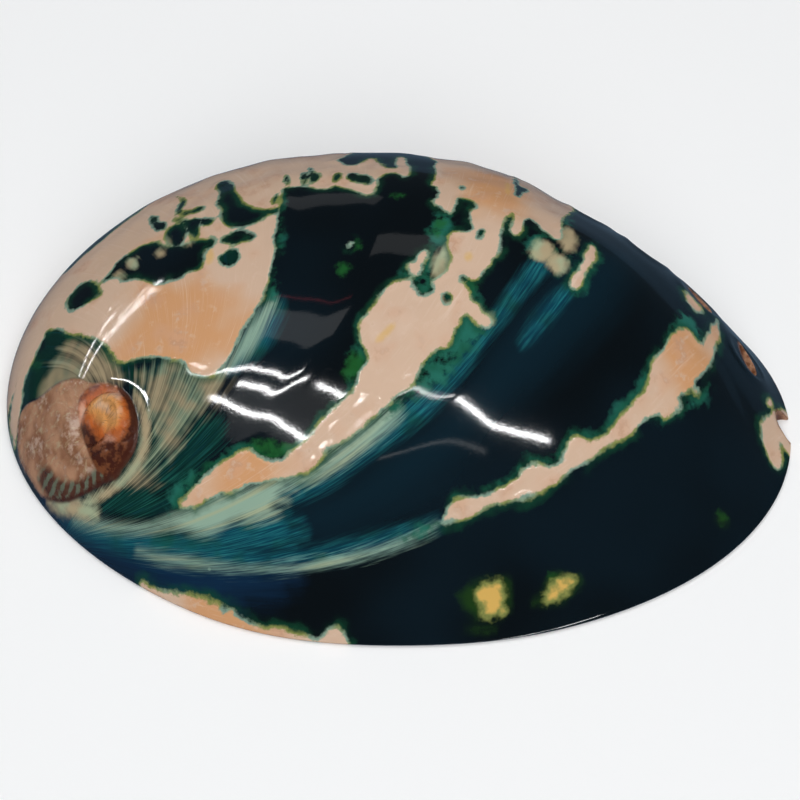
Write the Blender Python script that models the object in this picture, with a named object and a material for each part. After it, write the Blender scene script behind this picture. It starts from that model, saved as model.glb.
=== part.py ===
"""Abalone shell: one closed solid, resting dome up on its rim.

+X points to the growing front end, -Y to the side of the inner ledge, +Z up. The origin is the
middle of the shell's box, on the surface that it rests on. Lengths are in metres, and angles in
degrees until a function turns them.
"""

import bmesh
import bpy
import numpy as np
from mathutils import Matrix, Vector

MM = 0.001

# Outline of the rim, seen from above: its reach from the origin every 30 degrees, from +X towards +Y
RIM_REACH = np.array([48.0, 38.5, 32.5, 31.5, 36.0, 44.0, 47.5, 41.0, 35.0, 32.5, 35.5, 43.5]) * MM
LENGTH = 95.0 * MM
HEIGHT = 27.0 * MM

# Dome: the highest point, and how the slope from it to the rim differs between the front end and the spire end
CROWN = np.array([11.0, 6.0]) * MM
FRONT_HEADING = -50.0
SLOPE_POWER, SLOPE_POWER_SWING = 0.84, 0.40
SLOPE_FULLNESS, SLOPE_FULLNESS_SWING = 0.07, 0.11

# Wall, the flat foot under the rim, and the ledge that widens it along the spire end and the near side
WALL = 1.5 * MM
EDGE_HEIGHT = 0.45 * MM
EDGE_ROUNDING = 0.35 * MM
FOOT_WIDTH = 1.5 * MM
LEDGE_EXTRA = 3.5 * MM
LEDGE_HEADING = 225.0
LEDGE_HALF_SPAN = 75.0
INNER_EDGE_HEIGHT = 0.3 * MM
INNER_RELIEF = 0.7
LEVEL_POWER = 12

# Spire: a suture that winds outwards clockwise, and the whorls that rise between its turns
APEX = np.array([-34.3, -9.5]) * MM
SUTURE_REACH = 4.6 * MM
SUTURE_GROWTH = 0.22
SUTURE_END = -188.0
SUTURE_FADE = 50.0
SUTURE_DEPTH = 0.6 * MM
SUTURE_HALF_WIDTH = 1.1 * MM
WHORL_RISE = 1.4 * MM
WHORL_FULL_REACH = 2.5 * MM
WHORL_BLEND_FROM, WHORL_BLEND_TO = 60.0, 172.0
SPIRE_CONE_RISE = 1.0 * MM
SPIRE_CONE_REACH = 4.5 * MM

# Row of breathing holes on a ridge that winds out from the spire, with a groove along its inner side
ROW_REACH = 81.8 * MM
ROW_HEADING = 4.8
ROW_GROWTH = 0.68
RIDGE_RISE = 0.35 * MM
RIDGE_HALF_WIDTH = 2.6 * MM
RIDGE_FADE_FROM, RIDGE_FADE_TO = 60.0, 190.0
GROOVE_DEPTH = 0.4 * MM
GROOVE_OFFSET = 6.0 * MM
GROOVE_HALF_WIDTH = 1.8 * MM
OPEN_HOLES = 5
CLOSED_HOLES = 9
HOLE_SPACING = 8.0 * MM
HOLE_LENGTH = 4.2 * MM
HOLE_WIDTH = 2.9 * MM
HOLE_RIM_RISE = 0.4 * MM
HOLE_RIM_WIDTH = 1.0 * MM
CLOSED_HOLE_RISE = 0.35 * MM

# Growth lines turn about a hinge beside the spire: heading rises evenly with reach, and faster in older lines
HINGE = np.array([-40.0, -17.0]) * MM
LINE_TURN = 600.0
LINE_START, LINE_DRIFT, LINE_CURVE = -44.0, 38.0, -7.5
YOUNGEST_LINE, OLDEST_LINE = -0.5, 2.2
LINE_SEARCH_STEPS = 30
WAVE_AGES = (0.10, 0.30, 0.47, 0.70, 0.95, 1.25)
WAVE_RISE = 0.16 * MM
WAVE_HALF_AGE = 0.055
WAVE_START_REACH, WAVE_FULL_REACH = 13.5 * MM, 27.0 * MM

# Mesh: rays from the apex to the rim, with evenly spaced rings over the spire and wider ones over the body
RAYS = 90
SPIRE_ZONE, SPIRE_ZONE_SHARE = 11.0 * MM, 0.62
OUTER_RINGS = (14, 22)
INNER_RINGS = (4, 10)
BODY_START_POWER, BODY_END_POWER = 1.25, 1.5
DENSE_RIM_POINTS = 1440
TINY = 1e-6 * MM
MERGE_DISTANCE = 1e-6
HOLE_SIDES = 20
CUTTER_LENGTH = 9.0 * MM

SHELL_COLOUR = (0.012, 0.035, 0.042, 1.0)
SHELL_ROUGHNESS = 0.18
SHARP_ANGLE = 40.0


def smooth_step(value):
    """0 below 0, 1 above 1, and a smooth rise between."""
    value = np.clip(value, 0.0, 1.0)
    return value * value * (3.0 - 2.0 * value)


def rim_reach(heading):
    """Reach of the rim from the origin, the smoothest round curve through RIM_REACH."""
    count = len(RIM_REACH)
    waves = np.fft.rfft(RIM_REACH) / count
    reach = np.full_like(heading, waves[0].real)
    for turn in range(1, count // 2 + 1):
        weight = 1.0 if 2 * turn == count else 2.0
        reach = reach + weight * (waves[turn] * np.exp(1j * turn * heading)).real
    return reach


def dense_rim():
    """Closed outline of the rim, scaled to the length and centred on its own box."""
    heading = np.linspace(0.0, 2.0 * np.pi, DENSE_RIM_POINTS, endpoint=False)
    reach = rim_reach(heading)
    points = np.stack([reach * np.cos(heading), reach * np.sin(heading)], axis=1)
    low, high = points.min(axis=0), points.max(axis=0)
    return (points - (low + high) / 2.0) * LENGTH / (high[0] - low[0])


def inward_normals(outline):
    """Unit normals of a closed anticlockwise outline, pointing in."""
    along = np.roll(outline, -1, axis=0) - np.roll(outline, 1, axis=0)
    normals = np.stack([-along[:, 1], along[:, 0]], axis=1)
    return normals / np.linalg.norm(normals, axis=1, keepdims=True)


def foot_width(heading):
    """Width of the flat foot, widest at the ledge."""
    from_ledge = np.abs((np.degrees(heading) - LEDGE_HEADING + 180.0) % 360.0 - 180.0)
    return FOOT_WIDTH + LEDGE_EXTRA * smooth_step(1.0 - from_ledge / LEDGE_HALF_SPAN)


class Bowl:
    """A dome over an outline, as a height for each place seen from above."""

    def __init__(self, outline, edge_height, top_height):
        offset = outline - CROWN
        heading = np.arctan2(offset[:, 1], offset[:, 0])
        order = np.argsort(heading)
        self.headings = heading[order]
        self.reaches = np.hypot(offset[:, 0], offset[:, 1])[order]
        self.edge_height = edge_height
        self.rise = top_height - edge_height

    def share(self, x, y):
        """0 at the crown and 1 at the outline."""
        dx, dy = x - CROWN[0], y - CROWN[1]
        reach = np.interp(np.arctan2(dy, dx), self.headings, self.reaches, period=2.0 * np.pi)
        return np.clip(np.hypot(dx, dy) / reach, 0.0, 1.0)

    def height(self, x, y):
        share = self.share(x, y) ** 2
        swing = np.cos(np.arctan2(y - CROWN[1], x - CROWN[0]) - np.radians(FRONT_HEADING))
        power = SLOPE_POWER + SLOPE_POWER_SWING * swing
        fullness = SLOPE_FULLNESS + SLOPE_FULLNESS_SWING * swing
        return self.edge_height + self.rise * (1.0 - share) ** power * (1.0 + fullness * share)


def about_apex(x, y):
    """Reach and heading from the apex, the heading counted on from the end of the suture."""
    dx, dy = x - APEX[0], y - APEX[1]
    end = np.radians(SUTURE_END)
    heading = (np.arctan2(dy, dx) - end) % (2.0 * np.pi) + end
    return np.hypot(dx, dy) + TINY, heading


def spire_relief(x, y):
    """Whorls that rise between the turns of the suture, and the suture's own valley."""
    reach, heading = about_apex(x, y)
    turn = (np.log(reach / SUTURE_REACH) + SUTURE_GROWTH * heading) / (2.0 * np.pi * SUTURE_GROWTH)
    whorl = np.where(turn < 0.0, turn % 1.0, np.clip(turn, 0.0, 1.0))
    blend_span = np.radians(WHORL_BLEND_TO - WHORL_BLEND_FROM)
    blend = smooth_step((heading - np.radians(WHORL_BLEND_FROM)) / blend_span)
    strength = np.where(turn < 0.0, 1.0, blend) * np.minimum(1.0, reach / WHORL_FULL_REACH)
    rise = WHORL_RISE * strength * np.sin(np.pi * whorl)
    nearest = np.minimum(np.round(turn), 0.0)
    winding = heading - 2.0 * np.pi * nearest
    suture_reach = SUTURE_REACH * np.exp(-SUTURE_GROWTH * winding)
    fade = smooth_step((winding - np.radians(SUTURE_END)) / np.radians(SUTURE_FADE))
    depth = SUTURE_DEPTH * fade * np.minimum(1.0, suture_reach / SUTURE_REACH)
    valley = depth * np.exp(-(((reach - suture_reach) / SUTURE_HALF_WIDTH) ** 2))
    cone = SPIRE_CONE_RISE * np.exp(-((reach / SPIRE_CONE_REACH) ** 2))
    return rise - valley + cone


def row_point(step):
    """Place of a hole in the row, counted back from the newest, and the row's heading there."""
    pitch = ROW_GROWTH / np.hypot(1.0, ROW_GROWTH)
    reach = ROW_REACH - step * HOLE_SPACING * pitch
    heading = np.radians(ROW_HEADING) + np.log(ROW_REACH / reach) / ROW_GROWTH
    place = APEX + reach * np.array([np.cos(heading), np.sin(heading)])
    along = heading + np.pi / 2.0 + np.arctan(ROW_GROWTH)
    return place, along


def hole_distance(x, y, step):
    """Distance from a hole's centre in units of the hole's own half size."""
    place, along = row_point(step)
    dx, dy = x - place[0], y - place[1]
    length = dx * np.cos(along) + dy * np.sin(along)
    width = -dx * np.sin(along) + dy * np.cos(along)
    return np.hypot(length / (HOLE_LENGTH / 2.0), width / (HOLE_WIDTH / 2.0))


def row_relief(x, y):
    """The ridge with its groove, a raised lip round each open hole and a low bump on each closed one."""
    dx, dy = x - APEX[0], y - APEX[1]
    reach = np.hypot(dx, dy) + TINY
    heading = np.arctan2(dy, dx)
    heading = np.where(heading < -np.pi / 2.0, heading + 2.0 * np.pi, heading)
    row = ROW_REACH * np.exp(-ROW_GROWTH * (heading - np.radians(ROW_HEADING)))
    aside = (reach - row) / np.hypot(1.0, ROW_GROWTH)
    fade = 1.0 - smooth_step((np.degrees(heading) - RIDGE_FADE_FROM) / (RIDGE_FADE_TO - RIDGE_FADE_FROM))
    relief = RIDGE_RISE * fade * np.exp(-((aside / RIDGE_HALF_WIDTH) ** 2))
    relief = relief - GROOVE_DEPTH * fade * np.exp(-(((aside + GROOVE_OFFSET) / GROOVE_HALF_WIDTH) ** 2))
    for step in range(OPEN_HOLES):
        beyond = (hole_distance(x, y, step) - 1.0) * HOLE_WIDTH / 2.0
        relief = relief + HOLE_RIM_RISE * np.exp(-((np.maximum(beyond, 0.0) / HOLE_RIM_WIDTH) ** 2))
    for step in range(OPEN_HOLES, OPEN_HOLES + CLOSED_HOLES):
        rise = CLOSED_HOLE_RISE * (1.0 - (step - OPEN_HOLES) / CLOSED_HOLES)
        relief = relief + rise * np.exp(-(hole_distance(x, y, step) ** 2))
    return relief


def line_age(x, y):
    """Age of the growth line through a place: 0 at the rim's front, and more towards the spire."""
    dx, dy = x - HINGE[0], y - HINGE[1]
    reach = np.hypot(dx, dy)
    heading = np.degrees(np.arctan2(dy, dx))
    low, high = np.full_like(reach, YOUNGEST_LINE), np.full_like(reach, OLDEST_LINE)
    for _ in range(LINE_SEARCH_STEPS):
        age = (low + high) / 2.0
        line = LINE_START + LINE_DRIFT * age + LINE_CURVE * age**2 + LINE_TURN * np.exp(age) * reach
        low = np.where(line < heading, age, low)
        high = np.where(line < heading, high, age)
    return (low + high) / 2.0


def growth_relief(x, y):
    """Low swells left where growth paused."""
    age = line_age(x, y)
    relief = np.zeros_like(age)
    for pause in WAVE_AGES:
        relief = relief + WAVE_RISE * np.exp(-(((age - pause) / WAVE_HALF_AGE) ** 2))
    from_apex = np.hypot(x - APEX[0], y - APEX[1])
    clear_of_spire = smooth_step((from_apex - WAVE_START_REACH) / (WAVE_FULL_REACH - WAVE_START_REACH))
    return relief * clear_of_spire


def level_at_rim(x, y, bowl):
    """1 over the dome and 0 at its outline, where all relief ends."""
    return 1.0 - bowl.share(x, y) ** LEVEL_POWER


def outer_height(x, y):
    relief = spire_relief(x, y) + row_relief(x, y) + growth_relief(x, y)
    return OUTER.height(x, y) + relief * level_at_rim(x, y, OUTER)


def inner_height(x, y):
    hollow = SPIRE_CONE_RISE * np.exp(-(((x - APEX[0]) ** 2 + (y - APEX[1]) ** 2) / SPIRE_CONE_REACH**2))
    relief = hollow + INNER_RELIEF * (row_relief(x, y) + growth_relief(x, y))
    return INNER.height(x, y) + relief * level_at_rim(x, y, INNER)


RIM = dense_rim()
RIM_INWARD = inward_normals(RIM)
RIM_FOOT = foot_width(np.arctan2(RIM[:, 1], RIM[:, 0]))
INNER_RIM = RIM + RIM_INWARD * RIM_FOOT[:, None]
OUTER = Bowl(RIM, EDGE_HEIGHT, HEIGHT)
INNER = Bowl(INNER_RIM, INNER_EDGE_HEIGHT, HEIGHT - WALL)


def ray_picks():
    """Which dense rim points the rays end on, spread half by heading from the apex and half along the rim."""
    offset = RIM - APEX
    heading = np.unwrap(np.arctan2(offset[:, 1], offset[:, 0]))
    steps = np.linalg.norm(np.roll(RIM, -1, axis=0) - RIM, axis=1)
    along = np.concatenate([[0.0], np.cumsum(steps)[:-1]]) / steps.sum()
    spread = (along + (heading - heading[0]) / (2.0 * np.pi)) / 2.0
    wanted = np.arange(RAYS) / RAYS
    return np.round(np.interp(wanted, spread, np.arange(len(RIM)))).astype(int)


def ring_reaches(edge_reach, counts):
    """Reaches of the rings from the apex along rays that end at edge_reach, one row for each ring."""
    zone = np.minimum(SPIRE_ZONE, SPIRE_ZONE_SHARE * edge_reach)
    over_spire = np.linspace(0.0, 1.0, counts[0], endpoint=False)
    steps = np.linspace(0.0, 1.0, counts[1] + 1)
    over_body = 1.0 - (1.0 - steps**BODY_START_POWER) ** BODY_END_POWER
    return np.concatenate([np.outer(over_spire, zone), zone + np.outer(over_body, edge_reach - zone)])


def rings_over(edge, counts, height):
    """Rings of points from the apex to an edge, at the heights that a function gives."""
    offset = edge - APEX
    edge_reach = np.linalg.norm(offset, axis=1)
    rings = []
    for reach in ring_reaches(edge_reach, counts):
        plan = APEX + offset * (reach / edge_reach)[:, None]
        rings.append(np.column_stack([plan, height(plan[:, 0], plan[:, 1])]))
    return rings


def shell_rings():
    """Rings of points from the outer apex over the rim and the foot to the inner apex."""
    picks = ray_picks()
    rim, inner_rim, inward = RIM[picks], INNER_RIM[picks], RIM_INWARD[picks]
    foot_edges = (rim + inward * EDGE_ROUNDING, inner_rim - inward * EDGE_ROUNDING)
    foot = [np.column_stack([plan, np.zeros(RAYS)]) for plan in foot_edges]
    outer = rings_over(rim, OUTER_RINGS, outer_height)
    inner = rings_over(inner_rim, INNER_RINGS, inner_height)
    return np.array(outer + foot + inner[::-1])


def shell_mesh():
    """The closed skin, from a grid whose columns are the rays and whose rows are the rings."""
    rings = shell_rings()
    rows = len(rings) - 1
    skin = bmesh.new()
    bmesh.ops.create_grid(skin, x_segments=RAYS, y_segments=rows, size=0.5)
    for vertex in skin.verts:
        ray = round((vertex.co.x + 0.5) * RAYS) % RAYS
        row = round((vertex.co.y + 0.5) * rows)
        vertex.co = Vector(rings[row, ray])
    bmesh.ops.remove_doubles(skin, verts=skin.verts, dist=MERGE_DISTANCE)
    bmesh.ops.recalc_face_normals(skin, faces=skin.faces)
    mesh = bpy.data.meshes.new("shell")
    skin.to_mesh(mesh)
    skin.free()
    mesh.shade_smooth()
    mesh.set_sharp_from_angle(angle=np.radians(SHARP_ANGLE))
    return mesh


def surface_normal(x, y):
    """Outward direction of the dome without its relief."""
    step = 0.5 * MM
    rise_x = (OUTER.height(x + step, y) - OUTER.height(x - step, y)) / (2.0 * step)
    rise_y = (OUTER.height(x, y + step) - OUTER.height(x, y - step)) / (2.0 * step)
    return Vector((-rise_x, -rise_y, 1.0)).normalized()


def hole_cutter(step):
    """Oval peg at a hole of the row, square to the wall. The newest, a notch in the rim, is cut upright."""
    place, along = row_point(step)
    outward = surface_normal(place[0], place[1]) if step else Vector((0.0, 0.0, 1.0))
    lengthwise = Vector((np.cos(along), np.sin(along), 0.0))
    lengthwise = (lengthwise - outward * lengthwise.dot(outward)).normalized()
    widthwise = outward.cross(lengthwise)
    turned = Matrix((lengthwise, widthwise, outward)).transposed().to_4x4()
    centre = Vector((place[0], place[1], OUTER.height(place[0], place[1])))
    sizes = Matrix.Diagonal((HOLE_LENGTH, HOLE_WIDTH, CUTTER_LENGTH, 1.0))
    peg = bmesh.new()
    bmesh.ops.create_cone(
        peg, cap_ends=True, segments=HOLE_SIDES, radius1=0.5, radius2=0.5, depth=1.0,
        matrix=Matrix.Translation(centre) @ turned @ sizes,
    )
    bmesh.ops.recalc_face_normals(peg, faces=peg.faces)
    mesh = bpy.data.meshes.new(f"hole_cutter_{step + 1}")
    peg.to_mesh(mesh)
    peg.free()
    cutter = bpy.data.objects.new(mesh.name, mesh)
    bpy.context.scene.collection.objects.link(cutter)
    cutter.hide_render = True
    cutter.display_type = "WIRE"
    return cutter


def shell_material():
    material = bpy.data.materials.new("polished_shell")
    material.use_nodes = True
    surface = material.node_tree.nodes["Principled BSDF"]
    surface.inputs["Base Color"].default_value = SHELL_COLOUR
    surface.inputs["Roughness"].default_value = SHELL_ROUGHNESS
    surface.inputs["Metallic"].default_value = 0.0
    return material


def build_shell():
    shell = bpy.data.objects.new("shell", shell_mesh())
    shell.data.materials.append(shell_material())
    bpy.context.scene.collection.objects.link(shell)
    for step in range(OPEN_HOLES):
        cut = shell.modifiers.new(f"hole_{step + 1}", "BOOLEAN")
        cut.operation = "DIFFERENCE"
        cut.solver = "EXACT"
        cut.object = hole_cutter(step)


def main():
    for old in list(bpy.data.objects):
        bpy.data.objects.remove(old, do_unlink=True)
    build_shell()


main()
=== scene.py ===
"""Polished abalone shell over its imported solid: fine skin, layered pigment, pearly bowl and a plain stage."""

import bmesh
import bpy
import numpy as np
from bpy.props import FloatProperty, FloatVectorProperty, PointerProperty
from mathutils import Matrix, Vector, noise


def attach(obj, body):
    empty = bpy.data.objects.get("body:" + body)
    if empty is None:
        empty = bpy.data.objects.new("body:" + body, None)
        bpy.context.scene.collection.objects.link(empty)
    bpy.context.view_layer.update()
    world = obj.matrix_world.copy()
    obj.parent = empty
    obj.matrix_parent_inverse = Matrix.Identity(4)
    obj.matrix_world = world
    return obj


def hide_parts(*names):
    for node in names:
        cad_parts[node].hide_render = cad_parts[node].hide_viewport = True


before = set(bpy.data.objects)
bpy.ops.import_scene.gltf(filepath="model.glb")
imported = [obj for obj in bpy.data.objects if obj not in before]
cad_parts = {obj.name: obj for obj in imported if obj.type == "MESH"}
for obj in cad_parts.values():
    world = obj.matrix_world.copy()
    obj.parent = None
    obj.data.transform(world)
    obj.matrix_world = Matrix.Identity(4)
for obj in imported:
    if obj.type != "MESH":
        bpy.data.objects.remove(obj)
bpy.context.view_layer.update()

bl_info = {
    "name": "Abalone Shell",
    "version": (1, 0, 0),
    "blender": (4, 5, 0),
    "location": "View3D > Sidebar > Shell",
    "description": "Builds a polished abalone shell and a plain stage for it",
    "category": "Object",
}

MM = 0.001

# The solid's own form, in the same named values: rim, dome, foot and ledge
RIM_REACH = np.array([48.0, 38.5, 32.5, 31.5, 36.0, 44.0, 47.5, 41.0, 35.0, 32.5, 35.5, 43.5]) * MM
LENGTH = 95.0 * MM
HEIGHT = 27.0 * MM
CROWN = np.array([11.0, 6.0]) * MM
FRONT_HEADING = -50.0
SLOPE_POWER, SLOPE_POWER_SWING = 0.84, 0.40
SLOPE_FULLNESS, SLOPE_FULLNESS_SWING = 0.07, 0.11
WALL = 1.5 * MM
EDGE_HEIGHT = 0.45 * MM
EDGE_ROUNDING = 0.35 * MM
FOOT_WIDTH = 1.5 * MM
LEDGE_EXTRA = 3.5 * MM
LEDGE_HEADING = 225.0
LEDGE_HALF_SPAN = 75.0
INNER_EDGE_HEIGHT = 0.3 * MM
INNER_RELIEF = 0.7
LEVEL_POWER = 12

# Spire
APEX = np.array([-34.3, -9.5]) * MM
SUTURE_REACH = 4.6 * MM
SUTURE_GROWTH = 0.22
SUTURE_END = -188.0
SUTURE_FADE = 50.0
SUTURE_DEPTH = 0.6 * MM
SUTURE_HALF_WIDTH = 1.1 * MM
WHORL_RISE = 1.4 * MM
WHORL_FULL_REACH = 2.5 * MM
WHORL_BLEND_FROM, WHORL_BLEND_TO = 60.0, 172.0
SPIRE_CONE_RISE = 1.0 * MM
SPIRE_CONE_REACH = 4.5 * MM

# Row of breathing holes, its ridge and its groove
ROW_REACH = 81.8 * MM
ROW_HEADING = 4.8
ROW_GROWTH = 0.68
RIDGE_RISE = 0.35 * MM
RIDGE_HALF_WIDTH = 2.6 * MM
RIDGE_FADE_FROM, RIDGE_FADE_TO = 60.0, 190.0
GROOVE_DEPTH = 0.15 * MM  # shallower than the solid's, for a softer line in the polish
GROOVE_OFFSET = 6.0 * MM
GROOVE_HALF_WIDTH = 1.8 * MM
OPEN_HOLES = 5
CLOSED_HOLES = 9
HOLE_SPACING = 8.0 * MM
HOLE_LENGTH = 4.2 * MM
HOLE_WIDTH = 2.9 * MM
HOLE_RIM_RISE = 0.4 * MM
HOLE_RIM_WIDTH = 1.0 * MM
CLOSED_HOLE_RISE = 0.35 * MM

# Growth lines
HINGE = np.array([-40.0, -17.0]) * MM
LINE_TURN = 600.0
LINE_START, LINE_DRIFT, LINE_CURVE = -44.0, 38.0, -7.5
YOUNGEST_LINE, OLDEST_LINE = -0.5, 2.2
LINE_SEARCH_STEPS = 24
WAVE_AGES = (0.10, 0.30, 0.47, 0.70, 0.95, 1.25)
WAVE_RISE = 0.16 * MM
WAVE_HALF_AGE = 0.055
WAVE_START_REACH, WAVE_FULL_REACH = 13.5 * MM, 27.0 * MM
MM_PER_AGE = 35.0

# Relief too fine for the solid
SUTURE_CUT_DEPTH = 0.16 * MM
SUTURE_CUT_HALF_WIDTH = 0.38 * MM
BEAD_COUNT = 34
BEAD_REACH = 1.3 * MM
BEAD_HALF_WIDTH = 1.0 * MM
BEAD_FROM, BEAD_TO = -185.0, -38.0
BEAD_FADE = 6.0
LIP_ROLL, LIP_ROLL_WIDTH = 0.45 * MM, 0.3 * MM
POLISH_WAVE_CELL, POLISH_WAVE_SEED = 7.5 * MM, 1.7
NODULE_CELL, NODULE_SEED = 2.6 * MM, 5.3
NODULE_FADE = 0.8 * MM

# Mesh
DENSE_RIM_POINTS = 1440
RIM_SHARE = 0.998
TINY = 1e-6 * MM
FAR = 3.0 * MM
OUTER_CELLS = (300, 214)
INNER_CELLS = (150, 107)
HALF_LENGTH, HALF_WIDTH = 47.5 * MM, 31.9 * MM
SPIRE_FOCUS = (-0.74, -0.32)
FOCUS_HALF_WIDTH = (0.22, 0.30)
FOCUS_EXTRA = (1.1, 0.9)
CROWDING_STEPS = 2001
RIMWARD_POWER = 1.2
OUTER_GRID_SHARE = 0.965
OUTER_RINGS = (0.977, 0.986, 0.992, 0.9965, 0.999, 1.0)
EDGE_TURNS = (30.0, 60.0, 90.0)
INNER_GRID_SHARE = 0.94
INNER_RINGS = (0.999, 0.995, 0.987, 0.974, 0.957)
HOLE_SIDES = 40
CUTTER_LENGTH = 9.0 * MM
SHARP_ANGLE = 45.0
SLOPE_STEP = 0.5 * MM
OUTSIDE, INSIDE, HOLE_WALL = 0, 1, 2

# The camera that the photo fits, and the size of its frame
CAMERA_TARGET = np.array([0.361, -3.309, 8.0]) * MM
CAMERA_ELEVATION = 56.0
CAMERA_DISTANCE = 280.0 * MM
FOCAL_PIXELS = 2377.5
FRAME_PIXELS = 800
SENSOR_WIDTH = 36.0
CLIP_START = 0.01
SIGHT_MARGIN, SIGHT_STEPS = 60.0 * MM, 1600

# Pigment patches, each as the pixels of the photo that its edge passes
PEACH_SHOULDER = (
    (282, 187), (279, 200), (278, 216), (277, 230), (273, 241), (277, 252), (272, 264), (269, 275),
    (266, 288), (262, 299), (255, 311), (247, 325), (240, 338), (234, 350), (228, 362), (221, 371),
    (205, 377), (188, 374), (184, 361), (160, 357), (139, 357), (121, 362), (110, 350), (100, 340),
    (84, 335), (63, 331), (49, 330), (41, 344), (34, 357), (27, 376), (22, 400), (17, 430), (15, 452),
    (10, 430), (12, 402), (17, 378), (30, 345), (60, 300), (100, 248), (150, 212), (200, 186), (240, 170),
    (281, 163), (300, 161), (325, 160), (341, 161), (346, 165), (360, 164), (372, 158), (377, 163),
    (385, 165), (392, 167), (395, 163), (398, 157), (404, 157), (408, 163), (411, 171), (405, 178),
    (399, 173), (393, 172), (380, 174), (376, 187), (371, 195), (360, 193), (350, 189), (342, 186),
    (333, 184), (330, 188), (322, 189), (310, 187), (300, 186), (290, 187),
)
FLAME = (
    (178, 507), (190, 493), (201, 480), (213, 469), (226, 462), (240, 454), (250, 449), (256, 455),
    (263, 458), (275, 460), (286, 457), (298, 449), (308, 440), (318, 427), (328, 414), (340, 403),
    (352, 393), (356, 385), (357, 377), (361, 369), (369, 362), (369, 353), (363, 344), (359, 334),
    (360, 323), (369, 313), (377, 303), (381, 291), (391, 285), (402, 280), (411, 278), (414, 286),
    (419, 296), (427, 295), (436, 290), (431, 281), (440, 277), (447, 270), (452, 262), (454, 250),
    (450, 240), (453, 232), (463, 232), (471, 230), (474, 225), (468, 216), (472, 210), (478, 206),
    (474, 200), (463, 197), (456, 198), (456, 206), (452, 213), (444, 211), (439, 207), (433, 203),
    (437, 195), (438, 187), (431, 184), (438, 178), (436, 170), (433, 164), (440, 161), (470, 165),
    (500, 171), (530, 181), (560, 198), (574, 208), (568, 213), (562, 218), (561, 228), (563, 236),
    (558, 240), (552, 237), (546, 232), (540, 228), (535, 223), (531, 219), (526, 219), (522, 226),
    (520, 233), (515, 235), (511, 231), (511, 225), (515, 219), (515, 212), (508, 213), (503, 222),
    (501, 233), (502, 244), (498, 254), (490, 261), (485, 270), (479, 277), (471, 279), (464, 275),
    (458, 277), (462, 284), (468, 291), (469, 299), (476, 304), (481, 312), (490, 318), (493, 323),
    (488, 330), (480, 326), (473, 318), (466, 312), (460, 316), (456, 326), (452, 335), (448, 343),
    (440, 347), (431, 352), (424, 359), (420, 367), (417, 376), (411, 386), (403, 393), (394, 398),
    (387, 406), (377, 414), (366, 422), (356, 432), (346, 440), (336, 445), (325, 450), (319, 459),
    (311, 466), (300, 472), (290, 478), (279, 479), (270, 479), (258, 484), (240, 489), (222, 493),
    (205, 500), (190, 508),
)
BAND = (
    (441, 525), (443, 514), (449, 506), (458, 500), (468, 497), (480, 497), (492, 492), (505, 489),
    (515, 483), (521, 473), (526, 466), (535, 463), (546, 467), (553, 468), (559, 463), (563, 457),
    (567, 449), (570, 441), (576, 437), (583, 440), (590, 444), (599, 440), (607, 435), (615, 429),
    (621, 421), (627, 412), (633, 405), (640, 398), (647, 390), (650, 381), (651, 370), (654, 361),
    (660, 353), (667, 345), (672, 337), (677, 331), (684, 329), (691, 332), (695, 338), (697, 343),
    (702, 344), (706, 339), (709, 332), (713, 325), (717, 318), (719, 325), (719, 335), (716, 342),
    (715, 351), (713, 360), (708, 368), (702, 376), (697, 382), (690, 388), (682, 394), (677, 399),
    (683, 404), (680, 409), (672, 414), (664, 418), (660, 414), (654, 414), (645, 420), (639, 427),
    (628, 433), (615, 440), (605, 447), (596, 453), (588, 461), (575, 470), (565, 475), (555, 480),
    (545, 488), (537, 493), (527, 497), (514, 500), (500, 502), (488, 505), (478, 511), (465, 517),
    (454, 521),
)
BAND_TIP = (
    (686, 290), (691, 296), (697, 303), (703, 309), (701, 314), (696, 312), (690, 306), (686, 299),
)
END_PATCH = (
    (761, 427), (765, 418), (772, 414), (780, 413), (784, 410), (790, 416), (796, 428), (799, 445),
    (793, 458), (790, 457), (786, 450), (782, 443), (780, 440), (780, 452), (782, 462), (779, 469),
    (775, 468), (770, 460), (766, 450), (762, 440),
)
RIM_STRIP = (
    (140, 584), (150, 589), (164, 592), (180, 595), (200, 600), (213, 605), (222, 609), (230, 609),
    (237, 614), (245, 620), (254, 627), (270, 631), (290, 635), (310, 638), (320, 637), (326, 631),
    (335, 628), (342, 631), (348, 640), (350, 650), (300, 652), (250, 640), (200, 625), (160, 606),
    (142, 592),
)
ISLETS = (
    ((588, 247), (593, 245), (596, 251), (594, 260), (588, 268), (583, 276), (581, 283), (575, 289),
     (570, 287), (570, 281), (576, 274), (582, 265), (584, 256)),
    ((346, 241), (351, 239), (355, 243), (353, 248), (347, 248)),
    ((694, 391), (697, 385), (700, 388), (696, 395)),
    ((767, 403), (770, 399), (772, 403), (769, 407)),
    ((407, 266), (411, 263), (417, 259), (421, 251), (428, 250), (427, 257), (422, 265), (422, 273),
     (415, 276), (409, 272)),
)

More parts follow.
